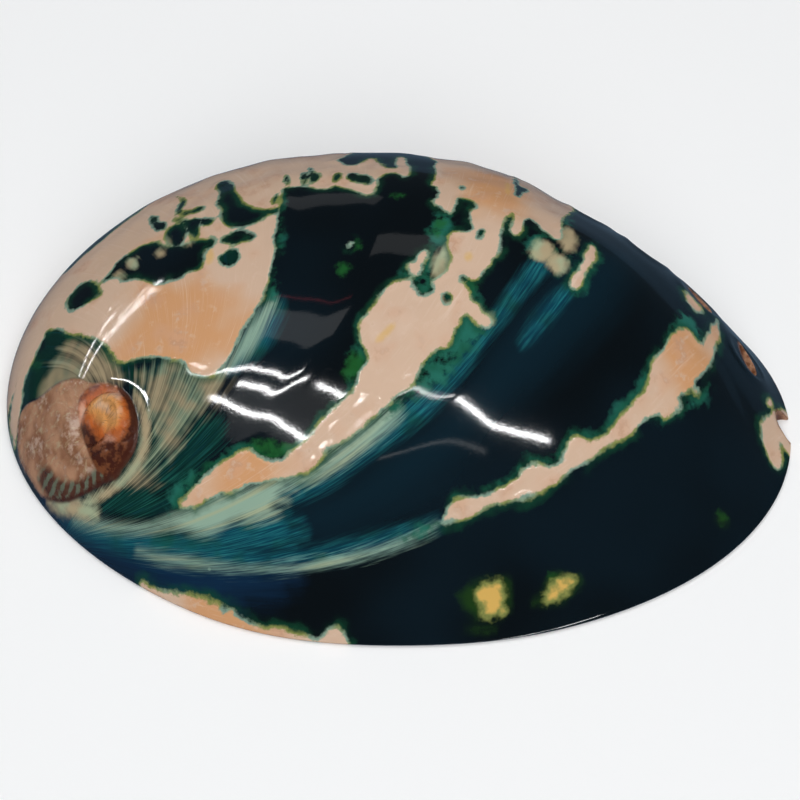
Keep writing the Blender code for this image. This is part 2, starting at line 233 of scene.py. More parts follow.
# Dark pigment that interrupts the peach shoulder and the flame
DARK_PATCHES = (
    ((66, 301), (72, 292), (80, 284), (88, 280), (99, 281), (101, 290), (104, 293), (98, 300), (88, 304),
     (78, 308), (72, 311), (66, 308)),
    ((96, 284), (104, 279), (110, 273), (118, 262), (127, 255), (134, 248), (146, 243), (158, 240),
     (164, 244), (170, 246), (180, 246), (190, 243), (198, 238), (207, 238), (213, 235), (217, 240),
     (214, 247), (205, 250), (204, 258), (205, 268), (199, 272), (190, 272), (181, 278), (170, 280),
     (160, 285), (150, 284), (142, 281), (135, 279), (122, 282), (118, 277), (110, 278), (102, 284)),
    ((148, 219), (152, 215), (158, 217), (158, 222), (166, 222), (166, 230), (157, 231), (153, 226)),
    ((164, 232), (170, 226), (179, 222), (186, 224), (188, 232), (184, 240), (175, 247), (166, 244),
     (162, 238)),
    ((170, 222), (174, 216), (180, 218), (187, 220), (199, 217), (201, 226), (200, 237), (195, 244),
     (189, 238), (186, 227), (178, 224)),
    ((200, 220), (208, 217), (215, 219), (214, 224), (208, 227), (201, 226)),
    ((174, 213), (178, 205), (181, 201), (172, 197), (180, 195), (189, 199), (185, 205), (181, 211),
     (192, 208), (204, 205), (204, 210), (192, 215), (181, 218)),
    ((213, 188), (218, 182), (226, 180), (235, 185), (238, 192), (242, 196), (244, 202), (252, 205),
     (262, 208), (272, 207), (281, 206), (281, 214), (268, 215), (262, 221), (252, 225), (242, 227),
     (232, 228), (223, 226), (219, 218), (221, 208), (215, 204), (219, 198), (220, 193)),
    ((218, 240), (228, 233), (238, 230), (248, 232), (257, 236), (252, 241), (240, 244), (228, 246)),
    ((268, 205), (272, 196), (280, 192), (281, 206)),
    ((284, 185), (283, 174), (289, 175), (290, 187)),
    ((300, 185), (300, 173), (307, 172), (309, 186)),
    ((309, 179), (309, 166), (314, 171), (322, 174), (320, 179), (312, 186)),
    ((331, 181), (332, 173), (341, 172), (344, 177), (340, 181), (334, 185)),
    ((344, 178), (350, 173), (360, 174), (369, 175), (374, 181), (369, 185), (357, 183), (349, 182)),
    ((512, 175), (516, 184), (521, 187), (530, 190), (521, 194), (517, 197), (515, 189)),
    ((376, 163), (384, 164), (394, 165), (400, 167), (394, 169), (384, 168)),
)
MOSS_PATCHES = (
    ((45, 333), (48, 328), (62, 329), (70, 337), (67, 350), (62, 362), (64, 370), (66, 378), (58, 384),
     (44, 392), (36, 399), (24, 403), (22, 394), (25, 380), (30, 366), (38, 354), (44, 345)),
    ((60, 330), (78, 333), (90, 336), (100, 340), (108, 346), (113, 352), (121, 360), (130, 367),
     (141, 370), (149, 375), (143, 384), (133, 390), (125, 379), (116, 369), (106, 359), (97, 351),
     (84, 342), (68, 338)),
    ((216, 258), (222, 254), (229, 249), (237, 248), (240, 256), (236, 264), (227, 267), (219, 262)),
    ((441, 293), (449, 291), (456, 297), (449, 304), (443, 303)),
    ((476, 233), (481, 229), (486, 231), (481, 238), (477, 238)),
    ((459, 187), (462, 185), (465, 188), (461, 191)),
    ((66, 361), (70, 358), (72, 363), (68, 366)),
    ((46, 411), (50, 408), (50, 414), (46, 416)),
    ((35, 428), (39, 427), (38, 434), (34, 433)),
)

# Soft green pigment beside the cream, and its brightest places
FRINGE = (
    ((400, 538), (415, 529), (438, 515), (448, 500), (469, 491), (502, 483), (512, 474), (522, 461),
     (543, 457), (556, 455), (563, 445), (573, 431), (594, 435), (609, 427), (617, 408), (630, 394),
     (642, 382), (648, 366), (657, 350), (668, 334), (676, 322), (679, 312), (690, 316), (700, 330),
     (706, 341), (697, 346), (690, 336), (672, 342), (655, 365), (650, 395), (620, 430), (575, 445),
     (560, 465), (525, 470), (480, 500), (450, 512), (441, 526), (425, 534), (404, 545)),
    ((470, 283), (478, 295), (484, 310), (499, 318), (494, 332), (482, 340), (470, 352), (458, 368),
     (444, 384), (430, 394), (416, 402), (404, 406), (396, 412), (384, 422), (378, 412), (400, 395),
     (412, 380), (420, 362), (430, 350), (445, 342), (453, 328), (462, 310), (458, 286)),
    ((168, 516), (172, 495), (190, 472), (209, 457), (228, 450), (246, 443), (262, 440), (287, 445),
     (301, 441), (312, 431), (322, 417), (332, 405), (345, 392), (350, 383), (345, 372), (347, 357),
     (354, 350), (357, 334), (357, 318), (366, 318), (366, 356), (362, 372), (357, 386), (340, 408),
     (325, 424), (308, 444), (290, 459), (270, 461), (250, 457), (230, 463), (205, 478), (190, 494),
     (178, 511)),
    ((281, 186), (284, 200), (283, 225), (284, 245), (281, 262), (279, 280), (278, 300), (268, 298),
     (270, 275), (274, 255), (272, 240), (275, 222), (277, 205)),
    ((426, 234), (431, 222), (436, 213), (446, 211), (453, 214), (451, 228), (450, 240), (440, 244),
     (431, 240)),
    ((526, 246), (534, 237), (545, 231), (556, 226), (566, 217), (578, 223), (581, 240), (574, 257),
     (567, 270), (556, 278), (545, 272), (535, 265), (527, 256)),
    ((584, 243), (598, 240), (600, 256), (592, 272), (584, 290), (572, 298), (564, 290), (572, 272),
     (580, 256)),
    ((398, 276), (408, 262), (418, 252), (430, 246), (434, 256), (430, 268), (438, 276), (436, 292),
     (422, 298), (412, 288), (402, 286)),
    ((654, 414), (668, 416), (684, 408), (700, 396), (710, 380), (714, 384), (702, 402), (686, 414),
     (668, 422), (652, 426)),
)
VIVID_SPOTS = (
    ((343, 376), (344, 364), (350, 355), (360, 352), (366, 358), (362, 370), (355, 380)),
    ((244, 446), (256, 440), (268, 442), (280, 446), (300, 441), (304, 446), (288, 458), (268, 458),
     (252, 454)),
    ((431, 234), (435, 224), (440, 217), (446, 219), (446, 230), (439, 238)),
    ((335, 266), (341, 262), (349, 267), (346, 275), (338, 275)),
    ((353, 241), (360, 240), (361, 247), (355, 249)),
    ((391, 196), (398, 193), (405, 196), (398, 199)),
    ((718, 515), (723, 513), (726, 518), (721, 522)),
    ((549, 577), (553, 572), (558, 577), (554, 582)),
    ((462, 280), (468, 277), (476, 282), (478, 290), (470, 294), (464, 290)),
    ((530, 250), (536, 242), (542, 240), (538, 250), (534, 257)),
)

# Haze: deep teal, a deep blue that is a painted reflection of blue surroundings, and pale
TEAL_HAZE = (
    ((272, 506), (300, 500), (330, 487), (360, 463), (385, 446), (410, 431), (432, 413), (452, 389),
     (470, 363), (488, 341), (502, 323), (520, 301), (538, 279), (552, 268), (545, 256), (530, 262),
     (516, 282), (500, 303), (488, 320), (470, 343), (452, 365), (436, 383), (415, 396), (395, 411),
     (372, 427), (350, 445), (330, 461), (312, 475), (290, 486), (270, 496)),
    ((562, 288), (574, 292), (562, 308), (547, 324), (532, 342), (518, 350), (528, 326), (544, 304)),
    ((282, 298), (285, 312), (277, 331), (269, 346), (259, 354), (246, 362), (232, 374), (226, 372),
     (238, 345), (255, 318), (268, 298)),
    ((60, 512), (92, 525), (120, 531), (153, 532), (191, 534), (215, 538), (230, 545), (260, 552),
     (300, 552), (330, 548), (360, 540), (400, 528), (425, 522), (441, 518), (441, 526), (418, 536),
     (402, 545), (361, 558), (315, 567), (269, 571), (230, 570), (191, 566), (153, 560), (107, 547),
     (80, 535), (62, 520)),
    ((190, 530), (215, 524), (240, 519), (262, 514), (294, 510), (276, 519), (310, 521), (284, 528),
     (316, 534), (282, 541), (300, 549), (262, 549), (230, 549), (200, 543)),
)
# Painted reflection: the blue that blue surroundings show in the polish near the rim below the spire, painted
# into the colour
BLUE_PAINTED_REFLECTION = (
    ((45, 500), (60, 514), (90, 530), (107, 546), (150, 560), (190, 566), (235, 571), (310, 572),
     (250, 580), (290, 588), (215, 592), (250, 600), (180, 596), (150, 580), (120, 563), (90, 546),
     (60, 523), (44, 506)),
)
WEED_HAZE = (
    ((135, 385), (140, 372), (160, 361), (192, 362), (224, 371), (217, 389), (202, 409), (187, 431),
     (171, 456), (148, 475), (125, 488), (105, 494), (118, 480), (131, 461), (139, 440), (140, 420),
     (137, 402)),
    ((204, 411), (226, 420), (224, 440), (207, 458), (192, 475), (175, 496), (168, 514), (150, 520),
     (120, 517), (98, 510), (112, 494), (147, 478), (171, 458), (188, 434)),
)
DUSK_HAZE = (
    ((285, 520), (300, 505), (340, 486), (370, 462), (420, 432), (455, 400), (490, 352), (530, 300),
     (560, 270), (600, 240), (640, 262), (620, 300), (570, 350), (520, 400), (470, 440), (430, 480),
     (390, 515), (340, 540), (300, 545)),
)
PALE_HAZE = (
    ((150, 525), (170, 517), (190, 507), (222, 493), (258, 484), (284, 475), (300, 475), (281, 486),
     (303, 489), (276, 494), (294, 501), (270, 507), (284, 514), (252, 523), (236, 521), (218, 533),
     (200, 536), (185, 531), (165, 528)),
    ((76, 517), (92, 521), (115, 525), (150, 525), (172, 521), (174, 529), (150, 533), (115, 532),
     (90, 527), (74, 522)),
    ((441, 520), (430, 526), (420, 531), (402, 540), (380, 548), (350, 556), (320, 562), (280, 566),
     (240, 566), (200, 562), (160, 555), (130, 549), (160, 560), (200, 567), (240, 571), (290, 571),
     (330, 567), (370, 557), (405, 546), (430, 532)),
    ((280, 484), (300, 474), (320, 466), (334, 451), (350, 439), (370, 423), (388, 409), (399, 401),
     (404, 411), (393, 428), (376, 441), (357, 455), (339, 469), (318, 480), (298, 486)),
    ((268, 299), (279, 299), (269, 319), (259, 339), (250, 353), (240, 363), (231, 370), (224, 374),
     (235, 352), (247, 328)),
)
SAND_HAZE = (
    ((132, 390), (141, 395), (149, 412), (151, 435), (147, 455), (137, 473), (123, 487), (106, 497),
     (92, 506), (80, 508), (84, 499), (96, 495), (108, 488), (118, 480), (126, 472), (134, 461), (140, 448),
     (142, 430), (140, 410)),
    ((46, 499), (62, 505), (80, 502), (94, 505), (100, 512), (98, 521), (84, 519), (70, 515), (56, 508)),
    ((434, 292), (446, 284), (456, 276), (462, 282), (470, 298), (482, 310), (496, 318), (492, 327),
     (478, 322), (464, 312), (448, 308)),
    ((440, 250), (450, 240), (458, 250), (456, 266), (446, 280), (434, 280), (432, 262)),
    ((530, 250), (536, 241), (546, 239), (553, 246), (552, 255), (546, 262), (538, 262), (532, 257)),
    ((547, 262), (552, 254), (561, 253), (567, 261), (566, 270), (558, 275), (550, 270)),
    ((559, 233), (567, 226), (576, 231), (577, 243), (571, 253), (562, 250), (559, 240)),
    ((126, 262), (131, 257), (139, 260), (137, 268), (128, 270)),
    ((154, 252), (160, 248), (166, 253), (160, 259)),
    ((159, 233), (165, 232), (169, 240), (171, 247), (164, 246), (160, 240)),
    ((184, 238), (190, 234), (195, 240), (190, 246), (185, 244)),
    ((202, 231), (208, 228), (213, 233), (207, 238)),
    ((113, 275), (120, 271), (125, 278), (117, 282)),
    ((96, 296), (104, 292), (106, 298), (98, 303)),
)
VEIL = (
    ((58, 350), (70, 344), (86, 344), (98, 351), (112, 364), (125, 380), (113, 384), (96, 379), (78, 379),
     (56, 388), (44, 396), (46, 380)),
    ((138, 372), (160, 360), (192, 360), (228, 371), (219, 389), (204, 408), (189, 430), (173, 455),
     (151, 475), (128, 487), (136, 472), (148, 452), (152, 430), (150, 408), (144, 390)),
)
OCHRE_SPOTS = (
    ((478, 590), (486, 582), (495, 579), (502, 583), (501, 591), (506, 597), (501, 602), (509, 608),
     (501, 613), (490, 616), (480, 617), (486, 608), (481, 602), (477, 598)),
    ((541, 599), (549, 590), (556, 585), (565, 582), (576, 582), (569, 588), (564, 595), (558, 600),
     (550, 600)),
)
OLIVE_SPOTS = (
    ((374, 338), (381, 331), (388, 324), (395, 320), (396, 326), (390, 334), (382, 342), (375, 344)),
    ((464, 252), (470, 250), (474, 256), (470, 262), (464, 260)),
    ((505, 180), (512, 184), (510, 196), (504, 192)),
    ((203, 246), (214, 247), (215, 262), (205, 267)),
)
OCHRE_GLOW = (
    ((456, 594), (465, 588), (478, 580), (494, 575), (512, 578), (510, 592), (513, 610), (500, 618),
     (478, 621), (466, 612), (460, 602)),
    ((530, 603), (541, 594), (547, 580), (556, 570), (566, 578), (584, 577), (576, 592), (562, 605),
     (545, 605)),
    ((716, 518), (720, 512), (727, 515), (726, 523), (719, 525)),
    ((460, 630), (480, 625), (500, 630), (480, 634)),
)

# Spire: its whole disc, the amber dome with its painted light, and the painted shade of the dark suture round
# that
SPIRE_DISC = (
    (19, 416), (27, 404), (40, 398), (52, 387), (65, 380), (78, 378), (90, 384), (101, 382), (113, 384),
    (126, 391), (134, 404), (138, 420), (138, 438), (134, 452), (127, 462), (121, 472), (118, 479),
    (106, 484), (93, 491), (80, 498), (66, 503), (52, 503), (40, 495), (31, 481), (24, 470), (18, 458),
    (17, 436),
)
AMBER_DOME = (
    (77, 403), (82, 392), (92, 385), (104, 383), (114, 385), (125, 391), (132, 400), (136, 413), (137, 430),
    (133, 448), (126, 461), (119, 472), (108, 480), (98, 474), (90, 459), (84, 443), (79, 424),
)
# Painted light: the upper part of the dome, painted lighter as if lit, with a painted highlight at its top
AMBER_PAINTED_LIGHT = (
    (78, 410), (84, 396), (94, 388), (106, 385), (118, 389), (127, 398), (131, 412), (129, 426), (122, 437),
    (112, 442), (100, 440), (89, 433), (81, 423),
)
# Painted shade: the dark crescent in the suture's groove round the dome
SUTURE_PAINTED_SHADE = (
    (116, 384), (127, 390), (135, 402), (139, 418), (139, 438), (134, 453), (127, 464), (120, 480),
    (106, 486), (92, 493), (80, 500), (66, 505), (52, 505), (40, 497), (52, 499), (66, 499), (80, 494),
    (92, 487), (106, 478), (116, 470), (122, 459), (128, 446), (131, 430), (131, 414), (127, 401),
    (120, 393),
)

# The shoulder right of the spire, which has no nodules: its pixel, how far it reaches and how sharply it ends
SMOOTH_SHOULDER = (160, 310)
SMOOTH_REACH, SMOOTH_POWER = 15.0 * MM, 4

# Warm spots of the cream layer, each a pixel and how far it spreads
WARM_SPOTS = (((185, 325), 9.0), ((690, 365), 5.0), ((490, 195), 6.0), ((250, 470), 5.0), ((230, 610), 8.0))

SEEN_LAYERS = {
    "moss": MOSS_PATCHES,
    "fringe": FRINGE,
    "vivid": VIVID_SPOTS,
    "teal": TEAL_HAZE,
    "weed": WEED_HAZE,
    "dusk": DUSK_HAZE,
    # the blue layer is a painted reflection of blue surroundings
    "blue": BLUE_PAINTED_REFLECTION,
    "pale": PALE_HAZE,
    "sand": SAND_HAZE,
    "veil": VEIL,
    "ochre": OCHRE_SPOTS,
    "olive": OLIVE_SPOTS,
    "glow": OCHRE_GLOW,
    "spire": (SPIRE_DISC,),
    "amber": (AMBER_DOME,),
    # painted light on the dome's upper part
    "amber_painted_light": (AMBER_PAINTED_LIGHT,),
    # painted shade along the suture
    "suture": (SUTURE_PAINTED_SHADE,),
}

# Seen only from behind: pigment past the dome's limb, in millimetres seen from above
PEACH_BEHIND = (
    (-50.0, -6.0), (-44.5, 2.5), (-38.5, 10.0), (-31.0, 17.0), (-24.0, 21.0), (-16.0, 22.0), (-10.0, 21.5),
    (-6.5, 23.0), (-5.0, 27.0), (-7.5, 34.0), (-20.0, 40.0), (-50.0, 30.0),
)
PEACH_BEHIND_FLAME = (
    (5.5, 20.0), (12.0, 19.5), (18.0, 18.5), (21.0, 19.5), (20.0, 23.0), (15.0, 26.0), (11.0, 34.0),
    (4.0, 34.0), (3.0, 27.0),
)
DARK_BEHIND = (
    (-41.0, 14.0), (-36.0, 17.0), (-30.0, 22.0), (-24.0, 26.5), (-16.0, 29.5), (-10.0, 31.0), (-14.0, 33.5),
    (-24.0, 30.5), (-34.0, 24.5), (-41.0, 17.5),
)


def smooth_step(value):
    """0 below 0, 1 above 1, and a smooth rise between."""
    value = np.clip(value, 0.0, 1.0)
    return value * value * (3.0 - 2.0 * value)


def rim_reach(heading):
    """Reach of the rim from the origin, the smoothest round curve through RIM_REACH."""
    count = len(RIM_REACH)
    waves = np.fft.rfft(RIM_REACH) / count
    reach = np.full_like(heading, waves[0].real)
    for turn in range(1, count // 2 + 1):
        weight = 1.0 if 2 * turn == count else 2.0
        reach = reach + weight * (waves[turn] * np.exp(1j * turn * heading)).real
    return reach


def dense_rim():
    """Closed outline of the rim, scaled to the length and centred on its own box."""
    heading = np.linspace(0.0, 2.0 * np.pi, DENSE_RIM_POINTS, endpoint=False)
    reach = rim_reach(heading)
    points = np.stack([reach * np.cos(heading), reach * np.sin(heading)], axis=1)
    low, high = points.min(axis=0), points.max(axis=0)
    return (points - (low + high) / 2.0) * LENGTH / (high[0] - low[0])


def inward_normals(outline):
    """Unit normals of a closed anticlockwise outline, pointing in."""
    along = np.roll(outline, -1, axis=0) - np.roll(outline, 1, axis=0)
    normals = np.stack([-along[:, 1], along[:, 0]], axis=1)
    return normals / np.linalg.norm(normals, axis=1, keepdims=True)


def foot_width(heading):
    """Width of the flat foot, widest at the ledge."""
    from_ledge = np.abs((np.degrees(heading) - LEDGE_HEADING + 180.0) % 360.0 - 180.0)
    return FOOT_WIDTH + LEDGE_EXTRA * smooth_step(1.0 - from_ledge / LEDGE_HALF_SPAN)


class Bowl:
    """A dome over an outline, as a height for each place seen from above."""

    def __init__(self, outline, edge_height, top_height):
        offset = outline - CROWN
        heading = np.arctan2(offset[:, 1], offset[:, 0])
        order = np.argsort(heading)
        self.headings = heading[order]
        self.reaches = np.hypot(offset[:, 0], offset[:, 1])[order]
        self.edge_height = edge_height
        self.rise = top_height - edge_height

    def share(self, x, y):
        """0 at the crown and 1 at the outline."""
        dx, dy = x - CROWN[0], y - CROWN[1]
        reach = np.interp(np.arctan2(dy, dx), self.headings, self.reaches, period=2.0 * np.pi)
        return np.clip(np.hypot(dx, dy) / reach, 0.0, 1.0)

    def height(self, x, y):
        share = self.share(x, y) ** 2
        swing = np.cos(np.arctan2(y - CROWN[1], x - CROWN[0]) - np.radians(FRONT_HEADING))
        power = SLOPE_POWER + SLOPE_POWER_SWING * swing
        fullness = SLOPE_FULLNESS + SLOPE_FULLNESS_SWING * swing
        return self.edge_height + self.rise * (1.0 - share) ** power * (1.0 + fullness * share)


def about_apex(x, y):
    """Reach and heading from the apex, the heading counted on from the end of the suture."""
    dx, dy = x - APEX[0], y - APEX[1]
    end = np.radians(SUTURE_END)
    heading = (np.arctan2(dy, dx) - end) % (2.0 * np.pi) + end
    return np.hypot(dx, dy) + TINY, heading


def suture_turn(reach, heading):
    """How many turns of the suture a place about the apex lies outside the suture's last turn."""
    return (np.log(reach / SUTURE_REACH) + SUTURE_GROWTH * heading) / (2.0 * np.pi * SUTURE_GROWTH)


def suture_strength(winding, suture_reach):
    """1 along the suture, fading to 0 at its end and at the apex."""
    fade = smooth_step((winding - np.radians(SUTURE_END)) / np.radians(SUTURE_FADE))
    return fade * np.minimum(1.0, suture_reach / SUTURE_REACH)


def nearest_suture(x, y):
    """Distance out from the nearest turn of the suture, how far round it that is, and its reach there."""
    reach, heading = about_apex(x, y)
    winding = heading - 2.0 * np.pi * np.minimum(np.round(suture_turn(reach, heading)), 0.0)
    suture_reach = SUTURE_REACH * np.exp(-SUTURE_GROWTH * winding)
    return reach - suture_reach, winding, suture_reach


def spire_relief(x, y):
    """Whorls that rise between the turns of the suture, and the suture's own valley."""
    reach, heading = about_apex(x, y)
    turn = suture_turn(reach, heading)
    whorl = np.where(turn < 0.0, turn % 1.0, np.clip(turn, 0.0, 1.0))
    blend_span = np.radians(WHORL_BLEND_TO - WHORL_BLEND_FROM)
    blend = smooth_step((heading - np.radians(WHORL_BLEND_FROM)) / blend_span)
    strength = np.where(turn < 0.0, 1.0, blend) * np.minimum(1.0, reach / WHORL_FULL_REACH)
    rise = WHORL_RISE * strength * np.sin(np.pi * whorl)
    aside, winding, suture_reach = nearest_suture(x, y)
    depth = SUTURE_DEPTH * suture_strength(winding, suture_reach)
    valley = depth * np.exp(-((aside / SUTURE_HALF_WIDTH) ** 2))
    cone = SPIRE_CONE_RISE * np.exp(-((reach / SPIRE_CONE_REACH) ** 2))
    return rise - valley + cone


def row_point(step):
    """Place of a hole in the row, counted back from the newest, and the row's heading there."""
    pitch = ROW_GROWTH / np.hypot(1.0, ROW_GROWTH)
    reach = ROW_REACH - step * HOLE_SPACING * pitch
    heading = np.radians(ROW_HEADING) + np.log(ROW_REACH / reach) / ROW_GROWTH
    place = APEX + reach * np.array([np.cos(heading), np.sin(heading)])
    along = heading + np.pi / 2.0 + np.arctan(ROW_GROWTH)
    return place, along


def hole_distance(x, y, step):
    """Distance from a hole's centre in units of the hole's own half size."""
    place, along = row_point(step)
    dx, dy = x - place[0], y - place[1]
    length = dx * np.cos(along) + dy * np.sin(along)
    width = -dx * np.sin(along) + dy * np.cos(along)
    return np.hypot(length / (HOLE_LENGTH / 2.0), width / (HOLE_WIDTH / 2.0))


def row_relief(x, y):
    """The ridge with its groove, a raised lip round each open hole and a low bump on each closed one."""
    dx, dy = x - APEX[0], y - APEX[1]
    reach = np.hypot(dx, dy) + TINY
    heading = np.arctan2(dy, dx)
    heading = np.where(heading < -np.pi / 2.0, heading + 2.0 * np.pi, heading)
    row = ROW_REACH * np.exp(-ROW_GROWTH * (heading - np.radians(ROW_HEADING)))
    aside = (reach - row) / np.hypot(1.0, ROW_GROWTH)
    fade = 1.0 - smooth_step((np.degrees(heading) - RIDGE_FADE_FROM) / (RIDGE_FADE_TO - RIDGE_FADE_FROM))
    relief = RIDGE_RISE * fade * np.exp(-((aside / RIDGE_HALF_WIDTH) ** 2))
    relief = relief - GROOVE_DEPTH * fade * np.exp(-(((aside + GROOVE_OFFSET) / GROOVE_HALF_WIDTH) ** 2))
    for step in range(OPEN_HOLES):
        beyond = (hole_distance(x, y, step) - 1.0) * HOLE_WIDTH / 2.0
        relief = relief + HOLE_RIM_RISE * np.exp(-((np.maximum(beyond, 0.0) / HOLE_RIM_WIDTH) ** 2))
    for step in range(OPEN_HOLES, OPEN_HOLES + CLOSED_HOLES):
        rise = CLOSED_HOLE_RISE * (1.0 - (step - OPEN_HOLES) / CLOSED_HOLES)
        relief = relief + rise * np.exp(-(hole_distance(x, y, step) ** 2))
    return relief


def line_age(x, y):
    """Age of the growth line through a place: 0 at the rim's front, and more towards the spire."""
    dx, dy = x - HINGE[0], y - HINGE[1]
    reach = np.hypot(dx, dy)
    heading = np.degrees(np.arctan2(dy, dx))
    low, high = np.full_like(reach, YOUNGEST_LINE), np.full_like(reach, OLDEST_LINE)
    for _ in range(LINE_SEARCH_STEPS):
        age = (low + high) / 2.0
        line = LINE_START + LINE_DRIFT * age + LINE_CURVE * age**2 + LINE_TURN * np.exp(age) * reach
        low = np.where(line < heading, age, low)
        high = np.where(line < heading, high, age)
    return (low + high) / 2.0


def growth_relief(x, y):
    """Low swells left where growth paused."""
    age = line_age(x, y)
    relief = np.zeros_like(age)
    for pause in WAVE_AGES:
        relief = relief + WAVE_RISE * np.exp(-(((age - pause) / WAVE_HALF_AGE) ** 2))
    from_apex = np.hypot(x - APEX[0], y - APEX[1])
    clear_of_spire = smooth_step((from_apex - WAVE_START_REACH) / (WAVE_FULL_REACH - WAVE_START_REACH))
    return relief * clear_of_spire


def level_at_rim(x, y, bowl):
    """1 over the dome and 0 at its outline, where all relief ends."""
    return 1.0 - bowl.share(x, y) ** LEVEL_POWER


def solid_height(x, y):
    """The outer height that the solid has."""
    relief = spire_relief(x, y) + row_relief(x, y) + growth_relief(x, y)
    return OUTER.height(x, y) + relief * level_at_rim(x, y, OUTER)


def inner_height(x, y):
    """The height of the bowl's ceiling."""
    hollow = SPIRE_CONE_RISE * np.exp(-(((x - APEX[0]) ** 2 + (y - APEX[1]) ** 2) / SPIRE_CONE_REACH**2))
    relief = hollow + INNER_RELIEF * (row_relief(x, y) + growth_relief(x, y))
    return INNER.height(x, y) + relief * level_at_rim(x, y, INNER)


RIM = dense_rim() * RIM_SHARE
RIM_INWARD = inward_normals(RIM)
RIM_FOOT = foot_width(np.arctan2(RIM[:, 1], RIM[:, 0]))
INNER_RIM = RIM + RIM_INWARD * RIM_FOOT[:, None]
OUTER = Bowl(RIM, EDGE_HEIGHT, HEIGHT)
INNER = Bowl(INNER_RIM, INNER_EDGE_HEIGHT, HEIGHT - WALL)
RIM_TURN = np.arctan2(RIM[:, 1] / HALF_WIDTH, RIM[:, 0] / HALF_LENGTH)


def waves(x, y, cell, seed):
    """Smooth random swells from -1 to 1, cell metres apart."""
    spots = np.stack([x / cell, y / cell, np.full_like(x, seed)], axis=1)
    return np.array([noise.noise(Vector(spot)) for spot in spots])


def beaded_edge(x, y):
    """1 on the beaded strip inside the outer turn of the suture, along its near side."""
    aside, winding, _ = nearest_suture(x, y)
    round_it = (winding - np.radians(BEAD_FROM)) / np.radians(BEAD_TO - BEAD_FROM)
    present = smooth_step(BEAD_FADE * round_it) * smooth_step(BEAD_FADE * (1.0 - round_it))
    return present * np.exp(-(((aside + BEAD_REACH) / BEAD_HALF_WIDTH) ** 2))


def bead_wave(winding):
    """0 between beads and 1 on them."""
    return 0.5 + 0.5 * np.cos(BEAD_COUNT * winding)


def fine_relief(x, y, cream, sizes):
    """What the skin has beyond the solid: a sharper suture, beads, polish waves, nodules and rolled lips."""
    aside, winding, suture_reach = nearest_suture(x, y)
    cut = SUTURE_CUT_DEPTH * suture_strength(winding, suture_reach)
    relief = -cut * np.exp(-((aside / SUTURE_CUT_HALF_WIDTH) ** 2))
    relief = relief + sizes.bead_height * beaded_edge(x, y) * bead_wave(winding)
    relief = relief - sizes.polish_waves * (0.5 + 0.5 * waves(x, y, POLISH_WAVE_CELL, POLISH_WAVE_SEED))
    nodules = smooth_step(cream / NODULE_FADE) * (0.5 + 0.5 * waves(x, y, NODULE_CELL, NODULE_SEED))
    middle = photo_places([SMOOTH_SHOULDER])[0]
    smooth_part = np.exp(-((np.hypot(x - middle[0], y - middle[1]) / SMOOTH_REACH) ** SMOOTH_POWER))
    relief = relief - sizes.nodule_height * nodules * (1.0 - smooth_part)
    for step in range(OPEN_HOLES):
        beyond = np.maximum((hole_distance(x, y, step) - 1.0) * HOLE_WIDTH / 2.0, 0.0)
        relief = relief - LIP_ROLL * np.exp(-((beyond / LIP_ROLL_WIDTH) ** 2))
    return relief


def photo_places(pixels):
    """Where lines of sight through pixels of the photo first meet the shell, seen from above."""
    tilt = np.radians(CAMERA_ELEVATION)
    ahead = np.array([0.0, np.cos(tilt), -np.sin(tilt)])
    upward = np.array([0.0, np.sin(tilt), np.cos(tilt)])
    eye = CAMERA_TARGET - CAMERA_DISTANCE * ahead
    pixels = np.asarray(pixels, dtype=float)
    across = (pixels[:, 0] - FRAME_PIXELS / 2.0) / FOCAL_PIXELS
    down = (pixels[:, 1] - FRAME_PIXELS / 2.0) / FOCAL_PIXELS
    sight = ahead + np.outer(across, (1.0, 0.0, 0.0)) - np.outer(down, upward)
    depths = np.linspace(CAMERA_DISTANCE - SIGHT_MARGIN, CAMERA_DISTANCE + SIGHT_MARGIN, SIGHT_STEPS)
    points = eye + sight[:, None, :] * depths[None, :, None]
    flat = points.reshape(-1, 3)
    above = flat[:, 2] - solid_height(flat[:, 0], flat[:, 1])
    above = np.where(OUTER.share(flat[:, 0], flat[:, 1]) < 1.0, above, flat[:, 2]).reshape(len(pixels), -1)
    met = above <= 0.0
    first = np.where(met.any(axis=1), met.argmax(axis=1), above.argmin(axis=1))
    return points[np.arange(len(pixels)), first, :2]


def rounded_outline(outline, rounds=1):
    """Closed outline with its corners cut."""
    outline = np.asarray(outline, dtype=float)
    for _ in range(rounds):
        ahead = np.roll(outline, -1, axis=0)
        pairs = np.stack([0.75 * outline + 0.25 * ahead, 0.25 * outline + 0.75 * ahead], axis=1)
        outline = pairs.reshape(-1, 2)
    return outline


def inside_distance(x, y, outline):
    """Distance inside an outline, negative outside it, and never beyond FAR."""
    low, high = outline.min(axis=0) - FAR, outline.max(axis=0) + FAR
    near = (x > low[0]) & (x < high[0]) & (y > low[1]) & (y < high[1])
    distance = np.full_like(x, -FAR)
    px, py = x[near], y[near]
    nearest = np.full_like(px, FAR)
    odd = np.zeros(len(px), dtype=bool)
    for start, end in zip(outline, np.roll(outline, -1, axis=0)):
        ex, ey = end - start
        wx, wy = px - start[0], py - start[1]
        share = np.clip((wx * ex + wy * ey) / (ex * ex + ey * ey + TINY**2), 0.0, 1.0)
        nearest = np.minimum(nearest, np.hypot(wx - share * ex, wy - share * ey))
        crosses = (start[1] > py) != (end[1] > py)
        with np.errstate(divide="ignore", invalid="ignore"):
            odd ^= crosses & (wx < ex * wy / ey)
    distance[near] = np.where(odd, nearest, -nearest)
    return distance


def patches_distance(x, y, outlines):
    """Distance inside the nearest of several outlines."""
    distance = np.full_like(x, -FAR)
    for outline in outlines:
        distance = np.maximum(distance, inside_distance(x, y, rounded_outline(outline)))
    return distance


def seen(*outlines):
    """Outlines in the photo, as outlines seen from above."""
    return [photo_places(outline) for outline in outlines]


def in_metres(*outlines):
    return [np.array(outline) * MM for outline in outlines]


